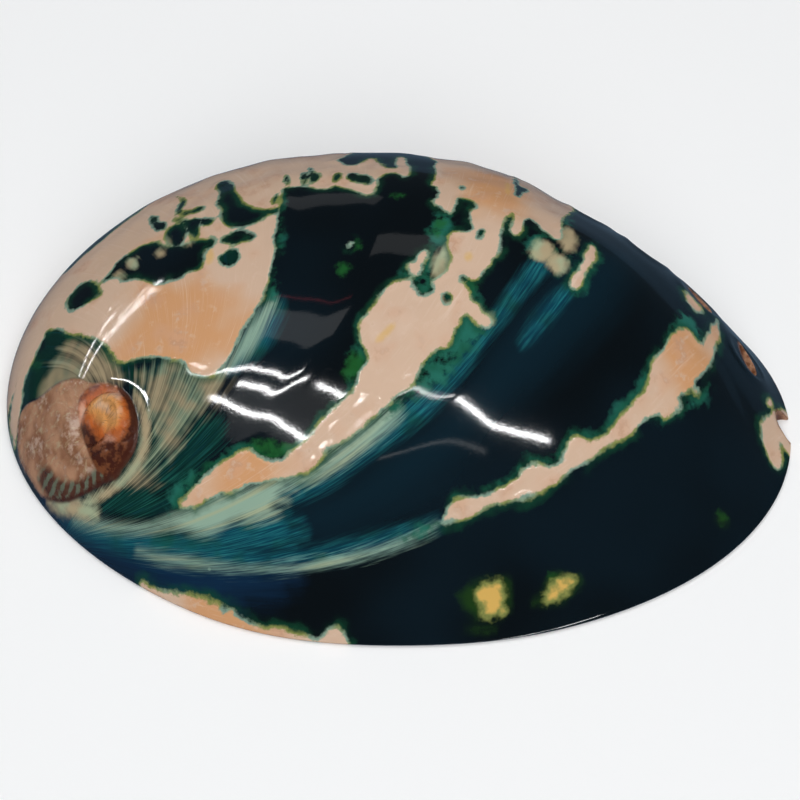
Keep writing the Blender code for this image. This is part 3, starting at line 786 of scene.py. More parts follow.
def cream_distance(x, y):
    """Distance inside the cream pigment, with the dark and mossy patches taken out of it."""
    cream = patches_distance(
        x, y, seen(PEACH_SHOULDER, FLAME, BAND, BAND_TIP, END_PATCH, RIM_STRIP, *ISLETS)
        + in_metres(PEACH_BEHIND, PEACH_BEHIND_FLAME)
    )
    dark = patches_distance(x, y, seen(*DARK_PATCHES, *MOSS_PATCHES) + in_metres(DARK_BEHIND))
    return np.minimum(cream, -dark)


def cream_warmth(x, y):
    """1 in the middle of the warm spots of the cream, and 0 far from them."""
    warmth = np.zeros_like(x)
    for pixel, spread in WARM_SPOTS:
        place = photo_places([pixel])[0]
        apart = np.hypot(x - place[0], y - place[1])
        warmth = np.maximum(warmth, np.exp(-((apart / (spread * MM)) ** 2)))
    return warmth


def beyond_holes(x, y):
    """Distance from the wall of the nearest open hole, measured square to the hole, and never beyond FAR."""
    nearest = np.full_like(x, FAR)
    for step in range(OPEN_HOLES):
        centre, axes = hole_axes(step)
        away = np.stack([x - centre[0], y - centre[1], OUTER.height(x, y) - centre[2]], axis=-1)
        length, width = away @ np.array(axes[0]), away @ np.array(axes[1])
        share = np.hypot(length / (HOLE_LENGTH / 2.0), width / (HOLE_WIDTH / 2.0))
        nearest = np.minimum(nearest, (share - 1.0) * HOLE_WIDTH / 2.0)
    return nearest


def pigment(x, y):
    """Distances inside each layer of pigment and beyond the holes, and the warmth of the cream, by name."""
    layers = {"cream": cream_distance(x, y)}
    for name, outlines in SEEN_LAYERS.items():
        layers[name] = patches_distance(x, y, seen(*outlines))
    layers["warmth"] = cream_warmth(x, y) * MM
    layers["hole"] = beyond_holes(x, y)
    return layers


def crowded(share, focus, half_width, extra):
    """Shares from -1 to 1, moved closer together round a focus."""
    places = np.linspace(-1.0, 1.0, CROWDING_STEPS)
    weight = 1.0 + extra * np.exp(-(((places - focus) / half_width) ** 2))
    total = np.concatenate([[0.0], np.cumsum((weight[1:] + weight[:-1]) / 2.0)])
    return np.interp(share, 2.0 * total / total[-1] - 1.0, places)


def rim_at(outline, turn):
    """Points of an outline at turns of the rim."""
    order = np.argsort(RIM_TURN)
    around = 2.0 * np.pi
    columns = [np.interp(turn, RIM_TURN[order], outline[order, axis], period=around) for axis in range(2)]
    return np.stack(columns, axis=1)


def grid_plan(vertices, outline, grid_share):
    """Places seen from above of a square grid's vertices, spread over an outline, with the turn of each."""
    flat = np.array([vertex.co[:2] for vertex in vertices]) * 2.0
    u = crowded(np.clip(flat[:, 0], -1.0, 1.0), SPIRE_FOCUS[0], FOCUS_HALF_WIDTH[0], FOCUS_EXTRA[0])
    v = crowded(np.clip(flat[:, 1], -1.0, 1.0), SPIRE_FOCUS[1], FOCUS_HALF_WIDTH[1], FOCUS_EXTRA[1])
    x, y = u * np.sqrt(1.0 - v * v / 2.0), v * np.sqrt(1.0 - u * u / 2.0)
    turn = np.arctan2(y, x)
    reach = np.clip(np.hypot(x, y), 0.0, 1.0)
    share = grid_share * (1.0 - (1.0 - reach) ** RIMWARD_POWER)
    return rim_at(outline, turn) * share[:, None], turn


def open_loop(skin):
    return [edge for edge in skin.edges if edge.is_boundary]


def add_ring(skin, loop, turn_layer, ring):
    """Extrudes an open loop to a ring that a function gives for the turns of its vertices."""
    made = bmesh.ops.extrude_edge_only(skin, edges=loop)["geom"]
    fresh = [item for item in made if isinstance(item, bmesh.types.BMVert)]
    turns = np.array([vertex[turn_layer] for vertex in fresh])
    for vertex, place in zip(fresh, ring(turns)):
        vertex.co = Vector(place)
    faces = [item for item in made if isinstance(item, bmesh.types.BMFace)]
    known = set(fresh)
    edges = [
        item for item in made
        if isinstance(item, bmesh.types.BMEdge) and item.verts[0] in known and item.verts[1] in known
    ]
    return edges, faces


def rings_to_foot():
    """Functions for the rings from the outer grid over the rounded edge and the foot to the inner grid."""

    def outer_ring(share):
        def ring(turns):
            plan = rim_at(RIM, turns) * share
            return np.column_stack([plan, solid_height(plan[:, 0], plan[:, 1])])
        return ring

    def foot_ring(outline, sign, height, angle):
        def ring(turns):
            inward = rim_at(RIM_INWARD, turns)
            inset = sign * EDGE_ROUNDING * (1.0 - np.cos(np.radians(angle)))
            plan = rim_at(outline, turns) + inward * inset
            return np.column_stack([plan, np.full(len(plan), height * (1.0 - np.sin(np.radians(angle))))])
        return ring

    def inner_ring(share):
        def ring(turns):
            plan = rim_at(INNER_RIM, turns) * share
            return np.column_stack([plan, inner_height(plan[:, 0], plan[:, 1])])
        return ring

    outer = [outer_ring(share) for share in OUTER_RINGS]
    outer += [foot_ring(RIM, 1.0, EDGE_HEIGHT, angle) for angle in EDGE_TURNS]
    inner = [foot_ring(INNER_RIM, -1.0, INNER_EDGE_HEIGHT, angle) for angle in reversed(EDGE_TURNS)]
    inner += [inner_ring(share) for share in (1.0,) + INNER_RINGS]
    return outer, inner


def add_grid(skin, cells, outline, grid_share, height, turn_layer):
    """A square grid moved onto a bowl."""
    made = bmesh.ops.create_grid(skin, x_segments=cells[0], y_segments=cells[1], size=0.5)["verts"]
    plan, turns = grid_plan(made, outline, grid_share)
    heights = height(plan[:, 0], plan[:, 1])
    for vertex, place, turn, level in zip(made, plan, turns, heights):
        vertex.co = Vector((place[0], place[1], level))
        vertex[turn_layer] = turn
    return made


def skin_mesh(sizes):
    """The closed skin: outer grid, rounded edge, foot, and the bowl's ceiling."""
    skin = bmesh.new()
    turn_layer = skin.verts.layers.float.new("turn")

    def outer_height(x, y):
        cream = cream_distance(x, y)
        return solid_height(x, y) + fine_relief(x, y, cream, sizes) * level_at_rim(x, y, OUTER)

    add_grid(skin, OUTER_CELLS, RIM, OUTER_GRID_SHARE, outer_height, turn_layer)
    outer, inner = rings_to_foot()
    loop = open_loop(skin)
    for ring in outer:
        loop, _ = add_ring(skin, loop, turn_layer, ring)
    for ring in inner:
        loop, faces = add_ring(skin, loop, turn_layer, ring)
        for face in faces:
            face.material_index = INSIDE
    known = set(skin.verts)
    grid = set(add_grid(skin, INNER_CELLS, INNER_RIM, INNER_GRID_SHARE, inner_height, turn_layer))
    for face in skin.faces:
        if face.verts[0] in grid:
            face.material_index = INSIDE
    ceiling = [edge for edge in open_loop(skin) if edge.verts[0] not in known]
    bridge = bmesh.ops.bridge_loops(skin, edges=loop + ceiling)
    for face in bridge["faces"]:
        face.material_index = INSIDE
    bmesh.ops.recalc_face_normals(skin, faces=skin.faces)
    mesh = bpy.data.meshes.new("polished_shell")
    skin.to_mesh(mesh)
    skin.free()
    return mesh


def surface_normal(x, y):
    """Outward direction of the dome without its relief."""
    step = SLOPE_STEP
    rise_x = (OUTER.height(x + step, y) - OUTER.height(x - step, y)) / (2.0 * step)
    rise_y = (OUTER.height(x, y + step) - OUTER.height(x, y - step)) / (2.0 * step)
    return Vector((-rise_x, -rise_y, 1.0)).normalized()


def hole_axes(step):
    """Centre of a hole on the skin, and its lengthwise, widthwise and outward directions."""
    place, along = row_point(step)
    outward = surface_normal(place[0], place[1]) if step else Vector((0.0, 0.0, 1.0))
    lengthwise = Vector((np.cos(along), np.sin(along), 0.0))
    lengthwise = (lengthwise - outward * lengthwise.dot(outward)).normalized()
    centre = Vector((place[0], place[1], OUTER.height(place[0], place[1])))
    return centre, (lengthwise, outward.cross(lengthwise), outward)


def hole_pegs():
    """One object with an oval peg through the wall at each open hole."""
    pegs = bmesh.new()
    for step in range(OPEN_HOLES):
        centre, axes = hole_axes(step)
        turned = Matrix(axes).transposed().to_4x4()
        sizes = Matrix.Diagonal((HOLE_LENGTH, HOLE_WIDTH, CUTTER_LENGTH, 1.0))
        bmesh.ops.create_cone(
            pegs, cap_ends=True, segments=HOLE_SIDES, radius1=0.5, radius2=0.5, depth=1.0,
            matrix=Matrix.Translation(centre) @ turned @ sizes,
        )
    for face in pegs.faces:
        face.material_index = HOLE_WALL
        face.smooth = True
    bmesh.ops.recalc_face_normals(pegs, faces=pegs.faces)
    mesh = bpy.data.meshes.new("hole_pegs")
    pegs.to_mesh(mesh)
    pegs.free()
    return bpy.data.objects.new("hole_pegs", mesh)


def with_holes(mesh, materials):
    """The skin with its breathing holes cut through. Each face keeps its number in the list of materials."""
    scene = bpy.context.scene
    whole = bpy.data.objects.new("whole_skin", mesh)
    pegs = hole_pegs()
    for part in (whole, pegs):
        for material in materials:
            part.data.materials.append(material)
    scene.collection.objects.link(whole)
    scene.collection.objects.link(pegs)
    cut = whole.modifiers.new("holes", "BOOLEAN")
    cut.operation = "DIFFERENCE"
    cut.solver = "EXACT"
    cut.object = pegs
    bpy.context.view_layer.update()
    graph = bpy.context.evaluated_depsgraph_get()
    holed = bpy.data.meshes.new_from_object(whole.evaluated_get(graph))
    for helper in (whole, pegs):
        bpy.data.objects.remove(helper, do_unlink=True)
    return holed


def store(mesh, name, values):
    """Writes a number or a vector for each vertex under a name."""
    kind, field = ("FLOAT", "value") if values.ndim == 1 else ("FLOAT_VECTOR", "vector")
    layer = mesh.attributes.new(name, kind, "POINT")
    layer.data.foreach_set(field, values.astype(np.float32).ravel())


def store_layers(mesh):
    """Writes the pigment distances in millimetres and the growth and coil coordinates to the vertices."""
    places = np.empty(len(mesh.vertices) * 3)
    mesh.vertices.foreach_get("co", places)
    x, y = places.reshape(-1, 3)[:, 0], places.reshape(-1, 3)[:, 1]
    for name, values in pigment(x, y).items():
        store(mesh, name, values / MM)
    level = np.zeros_like(x)
    from_hinge = np.hypot(x - HINGE[0], y - HINGE[1])
    store(mesh, "growth", np.column_stack([line_age(x, y) * MM_PER_AGE, from_hinge / MM, level]))
    aside, winding, _ = nearest_suture(x, y)
    store(mesh, "coil", np.column_stack([winding, aside / MM, level]))
    store(mesh, "coil_side", beaded_edge(x, y))
    store(mesh, "bead", bead_wave(winding))


class Value:
    """A number in a shader; an expression on it adds the Math nodes."""

    def __init__(self, finish, socket):
        self.finish = finish
        self.socket = socket

    def _math(self, operation, first, second=0.0):
        made = self.finish.node("ShaderNodeMath", {"operation": operation}, {0: first, 1: second})
        return Value(self.finish, made.outputs[0])

    def __add__(self, other):
        return self._math("ADD", self, other)

    __radd__ = __add__

    def __sub__(self, other):
        return self._math("SUBTRACT", self, other)

    def __rsub__(self, other):
        return self._math("SUBTRACT", other, self)

    def __mul__(self, other):
        return self._math("MULTIPLY", self, other)

    __rmul__ = __mul__

    def at_most(self, other):
        return self._math("MINIMUM", self, other)


class Finish:
    """A material under construction."""

    def __init__(self, name):
        self.material = bpy.data.materials.new(name)
        self.material.use_nodes = True
        self.nodes = self.material.node_tree.nodes
        self.links = self.material.node_tree.links
        self.nodes.clear()
        self.surface = self.node("ShaderNodeBsdfPrincipled")
        self.node("ShaderNodeOutputMaterial", None, {"Surface": self.surface.outputs[0]})

    def node(self, kind, settings=None, values=None):
        """Adds a node of a type, with its settings first and then the values or links of its sockets."""
        made = self.nodes.new(kind)
        for name, setting in (settings or {}).items():
            setattr(made, name, setting)
        for key, value in (values or {}).items():
            socket = made.inputs[key]
            if isinstance(value, Value):
                value = value.socket
            if isinstance(value, bpy.types.NodeSocket):
                self.links.new(value, socket)
            else:
                socket.default_value = value
        return made

    def layer(self, name):
        """A number that the mesh stores under a name."""
        return Value(self, self.node("ShaderNodeAttribute", {"attribute_name": name}).outputs["Fac"])

    def vector_layer(self, name, stretch):
        """A vector that the mesh stores under a name, stretched."""
        stored = self.node("ShaderNodeAttribute", {"attribute_name": name})
        return self.stretched(stored.outputs["Vector"], stretch)

    def place(self, stretch=(1.0, 1.0, 1.0)):
        """The place on the object, stretched."""
        return self.stretched(self.node("ShaderNodeTexCoord").outputs["Object"], stretch)

    def stretched(self, vector, stretch):
        values = {0: vector, 1: stretch}
        return self.node("ShaderNodeVectorMath", {"operation": "MULTIPLY"}, values).outputs[0]

    def grain(self, vector, scale, detail=3.0, roughness=0.5, distortion=0.0):
        """Noise from 0 to 1."""
        values = {"Vector": vector, "Scale": scale, "Detail": detail, "Roughness": roughness}
        values["Distortion"] = distortion
        return Value(self, self.node("ShaderNodeTexNoise", None, values).outputs["Fac"])

    def cells(self, vector, scale):
        """Distance to the nearest of scattered spots."""
        made = self.node("ShaderNodeTexVoronoi", None, {"Vector": vector, "Scale": scale})
        return Value(self, made.outputs[0])

    def ramp(self, value, low, high):
        """A smooth rise from 0 at low to 1 at high."""
        values = {"Value": value, "From Min": low, "From Max": high}
        made = self.node("ShaderNodeMapRange", {"interpolation_type": "SMOOTHSTEP"}, values)
        return Value(self, made.outputs[0])

    def mix(self, share, first, second):
        """A colour between two colours."""
        made = self.node("ShaderNodeMix", {"data_type": "RGBA"}, {0: share, 6: first, 7: second})
        return made.outputs[2]

    def bump(self, height, strength, distance, beneath=None):
        values = {"Height": height, "Strength": strength, "Distance": distance}
        if beneath is not None:
            values["Normal"] = beneath
        return self.node("ShaderNodeBump", None, values).outputs[0]

    def set(self, **values):
        """Sets or links the shader's own sockets."""
        for name, value in values.items():
            socket = self.surface.inputs[name.replace("_", " ").title().replace("Ior", "IOR")]
            if isinstance(value, Value):
                value = value.socket
            if isinstance(value, bpy.types.NodeSocket):
                self.links.new(value, socket)
            else:
                socket.default_value = value


# Grains of the outside that run along a vector layer: the layer, its stretch, detail and roughness
LINE_GRAINS = {
    "streak": ("growth", (1.6, 0.10, 1.0), 4.0, 0.6),
    "fine_streak": ("growth", (6.0, 0.25, 1.0), 3.0, 0.6),
    "long_streak": ("growth", (0.8, 0.05, 1.0), 2.0, 0.5),
    "coil_streak": ("coil", (9.0, 0.9, 1.0), 4.0, 0.65),
}
# Grains of the outside that are the same in every direction: scale, detail and roughness
ROUND_GRAINS = {
    "drift": (60.0, 1.0, 0.5),
    "cloud": (130.0, 2.0, 0.5),
    "blot": (260.0, 2.0, 0.5),
    "ragged": (900.0, 3.0, 0.6),
    "speckle": (2600.0, 2.0, 0.6),
}
FLECK_SCALE = 95.0
SCRATCH_STRETCH, SCRATCH_SCALE = (1.0, 0.25, 1.0), 4200.0
VEIL_LIMIT = 0.5
CREAM_SPREAD = 0.05


class Outside(Finish):
    """The outside's material, with the grains that its pigment shares."""

    def __init__(self, name):
        super().__init__(name)
        self.here = self.place()
        self.grains = {}
        for grain, (layer, stretch, detail, roughness) in LINE_GRAINS.items():
            self.grains[grain] = self.grain(self.vector_layer(layer, stretch), 1.0, detail, roughness)
        for grain, (scale, detail, roughness) in ROUND_GRAINS.items():
            self.grains[grain] = self.grain(self.here, scale, detail, roughness)

    def edge(self, name, limit=None, **shifts):
        """Millimetres inside a layer of pigment, with its edge moved by as many millimetres of each grain."""
        distance = self.layer(name)
        if limit is not None:
            distance = distance.at_most(limit)
        for grain, millimetres in shifts.items():
            distance = distance + (self.grains[grain] - 0.5) * millimetres
        return distance

    def where(self, grain, low, high):
        """A smooth rise from 0 to 1 as a grain goes from low to high."""
        return self.ramp(self.grains[grain], low, high)


def dark_ground(shell, colours):
    """Near-black ground with navy drifts, bluer beside the haze, a painted blue reflection below the spire, and
    pale flecks.
    """
    mix, ramp, edge, where = shell.mix, shell.ramp, shell.edge, shell.where
    ground = mix(where("drift", 0.3, 0.7), colours.black, colours.navy)
    ground = mix(ramp(edge("dusk", streak=1.6), -3.0, 2.6) * 0.85, ground, colours.dusk)
    # Painted reflection of blue surroundings below the spire, with teal growth streaks inside it
    blue = edge("blue", streak=2.4)
    ground = mix(ramp(blue, -2.4, 1.4) * 0.85, ground, colours.painted_blue_reflection)
    ground = mix(where("fine_streak", 0.55, 0.85) * ramp(blue, -0.6, 0.6) * 0.6, ground, colours.teal_deep)
    fleck = 1.0 - ramp(shell.cells(shell.here, FLECK_SCALE), 0.014, 0.024)
    return mix(fleck * 0.5, ground, colours.mist)


def with_hazes(shell, colours, body):
    """Streaks along the growth lines: teal haze, dark weed right of the spire, and pale mist."""
    mix, ramp, edge, where = shell.mix, shell.ramp, shell.edge, shell.where
    haze = mix(where("fine_streak", 0.38, 0.72), colours.teal_deep, colours.teal)
    haze = mix(where("blot", 0.45, 0.75) * 0.7, haze, colours.green)
    body = mix(ramp(edge("teal", streak=1.2, fine_streak=0.5), -0.9, 0.9) * 0.92, body, haze)
    weed = mix(where("fine_streak", 0.45, 0.8) * 0.8, colours.moss_dark, colours.teal_deep)
    weed = mix(where("streak", 0.46, 0.7) * 0.7, weed, colours.sea_green)
    weed = mix(where("blot", 0.5, 0.7) * 0.5, weed, colours.black)
    body = mix(ramp(edge("weed", streak=2.4, fine_streak=1.2), -0.8, 0.6) * 0.95, body, weed)
    mist = mix(where("long_streak", 0.5, 0.7), colours.mist, colours.sage)
    return mix(ramp(edge("pale", fine_streak=1.7, streak=1.6), -0.7, 1.0) * 0.9, body, mist)


def with_greens(shell, colours, body):
    """Green fringe and spots beside the cream, sandy islets, mossy patches and the veil over them."""
    mix, ramp, edge, where = shell.mix, shell.ramp, shell.edge, shell.where
    mottled = shell.grains["ragged"] + shell.grains["blot"]
    fringe = mix(where("blot", 0.35, 0.65), colours.green, colours.sea_green)
    fringed = ramp(edge("fringe", ragged=1.8, blot=2.4), -0.5, 0.9) * ramp(mottled, 0.82, 1.08)
    body = mix(fringed, body, fringe)
    body = mix(ramp(edge("vivid", ragged=2.4), -0.5, 0.7) * 0.75, body, colours.vivid_green)
    sandy = mix(where("blot", 0.4, 0.6), colours.sand, colours.sage)
    body = mix(ramp(edge("sand", ragged=0.7, streak=1.4), -0.5, 0.5) * 0.92, body, sandy)
    mossy = mix(where("streak", 0.5, 0.72) * 0.7, colours.moss_dark, colours.teal_deep)
    mossy = mix(where("blot", 0.5, 0.7) * 0.5, mossy, colours.green)
    body = mix(ramp(edge("moss", ragged=1.4, blot=1.2), -0.35, 0.25), body, mossy)
    veil = mix(where("blot", 0.4, 0.6), colours.sage, colours.sand)
    veiled = edge("veil", VEIL_LIMIT, long_streak=3.5, streak=2.0, blot=4.0)
    return mix(ramp(veiled, -1.0, 1.8) * 0.72, body, veil)


def with_ochre(shell, colours, body):
    """The ochre spots near the lower edge, with a green rim and a leaf-green glow."""
    mix, ramp, edge = shell.mix, shell.ramp, shell.edge
    body = mix(ramp(edge("glow", blot=1.2, ragged=0.9), -0.6, 0.8) * 0.7, body, colours.leaf)
    ochre = edge("ochre", ragged=1.6, blot=1.6)
    body = mix(ramp(ochre, -0.6, 0.2) * 0.75, body, colours.rim_green)
    return mix(ramp(ochre, 0.0, 0.6) * 0.95, body, colours.ochre)


def with_cream(shell, colours, body, cream):
    """The cream and peach patches inside their edge, with painted glints in them and a green halo outside it.
    """
    mix, ramp, edge, where = shell.mix, shell.ramp, shell.edge, shell.where
    mottled = shell.grains["ragged"] + shell.grains["blot"]
    body = mix(ramp(cream, -1.1, -0.02) * where("blot", 0.3, 0.62) * 0.75, body, colours.green)
    rim_tone = mix(where("blot", 0.42, 0.6), colours.mist, colours.rim_green)
    body = mix(ramp(cream, -0.30, 0.06) * 0.75, body, rim_tone)
    flesh = mix(ramp(edge("warmth", drift=0.8, cloud=1.6), 0.2, 0.9), colours.cream, colours.peach)
    flesh = mix(where("fine_streak", 0.55, 0.8) * 0.5, flesh, colours.pearl)
    flesh = mix(where("blot", 0.5, 0.75) * 0.5, flesh, colours.rose)
    flesh = mix(where("streak", 0.58, 0.75) * 0.5, flesh, colours.pearl)
    flesh = mix(ramp(edge("olive", ragged=0.4), -0.2, 0.4) * 0.6, flesh, colours.ochre)
    # Painted glints: pale patches where the nodules would catch the lamps
    flesh = mix(where("ragged", 0.54, 0.7) * where("blot", 0.42, 0.6) * 0.6, flesh, colours.pearl)
    flesh = mix(ramp(mottled, 1.12, 1.3) * 0.35, flesh, colours.tan)
    return mix(ramp(cream, 0.03, 0.24), body, flesh)


def with_worn_holes(shell, colours, body):
    """The brown rim that wear leaves round each breathing hole."""
    worn = shell.mix(shell.where("blot", 0.4, 0.6), colours.tan, colours.brown)
    return shell.mix(shell.ramp(shell.edge("hole", ragged=0.5), 0.28, 0.0) * 0.8, body, worn)


def with_spire(shell, colours, body):
    """The spire: its horn-coloured outer turn with the beaded edge and painted glints, its amber dome with
    painted light, a painted highlight and painted glints on its upper part, and the dark suture with its
    painted shade.
    """
    mix, ramp, edge, where = shell.mix, shell.ramp, shell.edge, shell.where
    mottled = shell.grains["ragged"] + shell.grains["blot"]
    horn = mix(where("blot", 0.38, 0.62) * 0.7, colours.tan, colours.brown)
    horn = mix(where("coil_streak", 0.5, 0.72) * 0.7, horn, colours.sand)
    horn = mix(where("ragged", 0.58, 0.72) * 0.3, horn, colours.umber)
    # Painted glints on the horn
    horn = mix(ramp(mottled, 1.05, 1.3) * 0.45, horn, colours.pearl)
    beaded = mix(ramp(edge("bead", ragged=2.4), 0.35, 0.85), colours.umber, colours.moss_grey)
    horn = mix(ramp(edge("coil_side", ragged=0.4), 0.2, 0.8) * 0.9, horn, beaded)
    # Painted light on the dome: amber and a honey painted highlight where the upper part is lit, darker brown
    # below
    painted_lit = edge("amber_painted_light", blot=1.6, ragged=1.4)
    dome = mix(where("ragged", 0.4, 0.6), colours.umber, colours.brown)
    dome = mix(ramp(painted_lit, -0.5, 0.7), dome, colours.amber)
    dome = mix(ramp(painted_lit, 0.5, 1.7) * 0.75, dome, colours.honey_painted_highlight)
    dome = mix(where("coil_streak", 0.5, 0.68) * ramp(painted_lit, -0.4, 0.8) * 0.6, dome, colours.umber)
    # Painted glints on the lit part of the dome
    dome = mix(where("blot", 0.52, 0.66) * ramp(painted_lit, -0.4, 0.8) * 0.5, dome, colours.pearl)
    spire = mix(ramp(edge("amber", ragged=0.3), -0.1, 0.2), horn, dome)
    # Painted shade in the suture's groove round the dome
    spire = mix(ramp(edge("suture", speckle=0.4), -0.22, 0.12) * 0.92, spire, colours.umber)
    return mix(ramp(edge("spire", ragged=0.3), -0.15, 0.15), body, spire)


def polished_shell(colours):
    """The outside: dark ground, hazes, green, ochre and cream pigment and the spire, under a clear polish."""
    shell = Outside("polished_shell")
    ragged, speckle = shell.grains["ragged"], shell.grains["speckle"]
    cream = shell.edge("cream", ragged=0.8, speckle=0.25, blot=1.3) + CREAM_SPREAD
    body = dark_ground(shell, colours)
    body = with_hazes(shell, colours, body)
    body = with_greens(shell, colours, body)
    body = with_ochre(shell, colours, body)
    body = with_cream(shell, colours, body, cream)
    body = with_worn_holes(shell, colours, body)
    body = with_spire(shell, colours, body)

    in_spire = shell.ramp(shell.layer("spire"), -0.2, 0.3)
    scratch = shell.grain(shell.place(SCRATCH_STRETCH), SCRATCH_SCALE, 2.0, 0.5)
    roughness = 0.06 + shell.ramp(scratch, 0.6, 0.8) * 0.07 + in_spire * 0.02
    swell = shell.bump(shell.grains["fine_streak"] * 0.05 + ragged * 0.25 + speckle * 0.3, 0.3, 0.00003)
    lumps = (ragged * 0.4 + shell.grains["blot"]) * shell.ramp(cream, 0.0, 0.4)
    lumpy = shell.bump(lumps, 0.5, 0.00010, swell)
    pitted = shell.bump((shell.grains["coil_streak"] * 0.6 + ragged) * in_spire, 0.8, 0.00032, lumpy)
    shell.set(
        base_color=body, roughness=roughness, metallic=0.0, ior=1.35, coat_weight=0.12, coat_roughness=0.03,
        normal=pitted,
    )
    return shell.material


def mother_of_pearl(colours):
    """The inside: silver nacre with pink clouds, green growth bands and blue threads."""
    finish = Finish("mother_of_pearl")
    mix, ramp = finish.mix, finish.ramp
    here = finish.place()
    cloud = finish.grain(here, 120.0, 3.0, 0.55, 0.6)
    band = finish.grain(finish.vector_layer("growth", (0.5, 0.06, 1.0)), 1.0, 4.0, 0.6, 0.5)
    thread = finish.grain(finish.vector_layer("growth", (3.0, 0.2, 1.0)), 1.0, 3.0, 0.6)
    pearl = mix(ramp(cloud, 0.35, 0.65), colours.nacre_silver, colours.nacre_pink)
    pearl = mix(ramp(band, 0.45, 0.65) * 0.8, pearl, colours.nacre_green)
    pearl = mix(ramp(thread, 0.5, 0.75) * 0.5, pearl, colours.nacre_blue)
    ripple = finish.bump(band * 0.7 + thread * 0.3, 0.4, 0.0002)
    finish.set(
        base_color=pearl, roughness=0.16 + cloud * 0.12, metallic=0.45, coat_weight=0.5, coat_roughness=0.08,
        normal=ripple,
    )
    return finish.material


def hole_wall(colours):
    """The brown layered wall that a breathing hole cuts open."""
    finish = Finish("hole_wall")
    layers = finish.grain(finish.place(), 1400.0, 3.0, 0.6)
    shade = finish.mix(finish.ramp(layers, 0.35, 0.7), colours.brown, colours.tan)
    finish.set(base_color=shade, roughness=0.25 + layers * 0.2, coat_weight=0.4)
    return finish.material


def colour(name, description, red, green, blue):
    """A colour setting, from the red, green and blue that a screen shows."""
    channels = [channel / 255.0 for channel in (red, green, blue)]
    linear = [c / 12.92 if c <= 0.04045 else ((c + 0.055) / 1.055) ** 2.4 for c in channels]
    return FloatVectorProperty(
        name=name, description=description, subtype="COLOR", size=4, min=0.0, max=1.0, default=(*linear, 1.0)
    )


class ShellSizes(bpy.types.PropertyGroup):
    bead_height: FloatProperty(
        name="Bead height", description="Height of the folds along the spire's near side", default=0.28 * MM,
        min=0.0, unit="LENGTH", precision=5,
    )
    polish_waves: FloatProperty(
        name="Polish waves", description="Depth of the slow waves in the polished skin", default=0.06 * MM,
        min=0.0, unit="LENGTH", precision=5,
    )
    nodule_height: FloatProperty(
        name="Nodule height", description="Height of the lumps in the cream patches", default=0.24 * MM,
        min=0.0, unit="LENGTH", precision=5,
    )


class ShellColours(bpy.types.PropertyGroup):
    black: colour("Black", "Darkest ground", 7, 13, 17)
    navy: colour("Navy", "Dark ground", 10, 23, 31)
    dusk: colour("Dusk", "Ground beside the haze", 11, 33, 44)
    # Deep blue is a painted reflection of blue surroundings on the ground below the spire
    painted_blue_reflection: colour("Deep blue", "Ground below the spire", 14, 42, 70)
    teal_deep: colour("Deep teal", "Shade of the haze", 12, 62, 80)
    teal: colour("Teal", "Light of the haze", 34, 116, 122)
    green: colour("Green", "Fringe round the cream", 20, 72, 48)
    sea_green: colour("Sea green", "Paler fringe round the cream", 36, 104, 90)
    vivid_green: colour("Vivid green", "Brightest spots beside the cream", 32, 94, 42)
    moss_dark: colour("Dark moss", "Shade of the mossy patches", 8, 42, 36)
    moss_grey: colour("Grey moss", "Folds along the spire", 88, 100, 84)
    leaf: colour("Leaf green", "Glow round the ochre spots", 34, 66, 20)
    rim_green: colour("Rim green", "Thin edge of the cream", 148, 152, 84)
    mist: colour("Mist", "Palest haze", 148, 176, 156)
    sage: colour("Sage", "Warmer pale haze", 168, 178, 146)
    sand: colour("Sand", "Pale haze round the spire", 182, 164, 130)
    cream: colour("Cream", "Cream patches", 208, 178, 154)
    peach: colour("Peach", "Warm parts of the cream", 206, 154, 110)
    # Pearl is the cream's own pale streaks and also painted glints on the cream and the spire
    pearl: colour("Pearl", "Pale streaks in the cream", 222, 198, 178)
    rose: colour("Rose", "Pinker clouds in the cream", 206, 162, 134)
    ochre: colour("Ochre", "Middle of the ochre spots", 214, 172, 92)
    # Amber is the dome's own orange and also painted light on its upper part; honey is a painted highlight
    amber: colour("Amber", "Lit part of the spire's dome", 184, 96, 42)
    honey_painted_highlight: colour("Honey", "Brightest part of the spire's dome", 226, 168, 100)
    tan: colour("Tan", "Outer turn of the spire", 178, 134, 104)
    brown: colour("Brown", "Streaks of the spire", 112, 66, 40)
    # Umber is also the painted shade along the suture round the spire
    umber: colour("Umber", "Suture round the spire", 66, 32, 22)
    nacre_silver: colour("Silver nacre", "Ground of the inside", 214, 220, 218)
    nacre_pink: colour("Pink nacre", "Clouds of the inside", 230, 188, 200)
    nacre_green: colour("Green nacre", "Bands of the inside", 158, 212, 192)
    nacre_blue: colour("Blue nacre", "Threads of the inside", 168, 186, 226)


class StageSettings(bpy.types.PropertyGroup):
    floor_size: FloatProperty(
        name="Floor size", description="Side of the floor", default=3.0, min=0.5, unit="LENGTH"
    )
    floor: colour("Floor", "Colour of the floor", 250, 250, 250)
    sky_strength: FloatProperty(
        name="Room light", description="Strength of the light from all round", default=0.07, min=0.0
    )
    strip_power: FloatProperty(
        name="Strip power", description="Brightness of the narrow lamps", default=1.0, min=0.0
    )
    blue_below: FloatProperty(
        name="Blue surroundings", description="Brightness of the blue that the polish shows near the rim",
        default=0.12, min=0.0,
    )
    soft_power: FloatProperty(
        name="Soft light", description="Brightness of the wide lamps overhead", default=1.0, min=0.0
    )


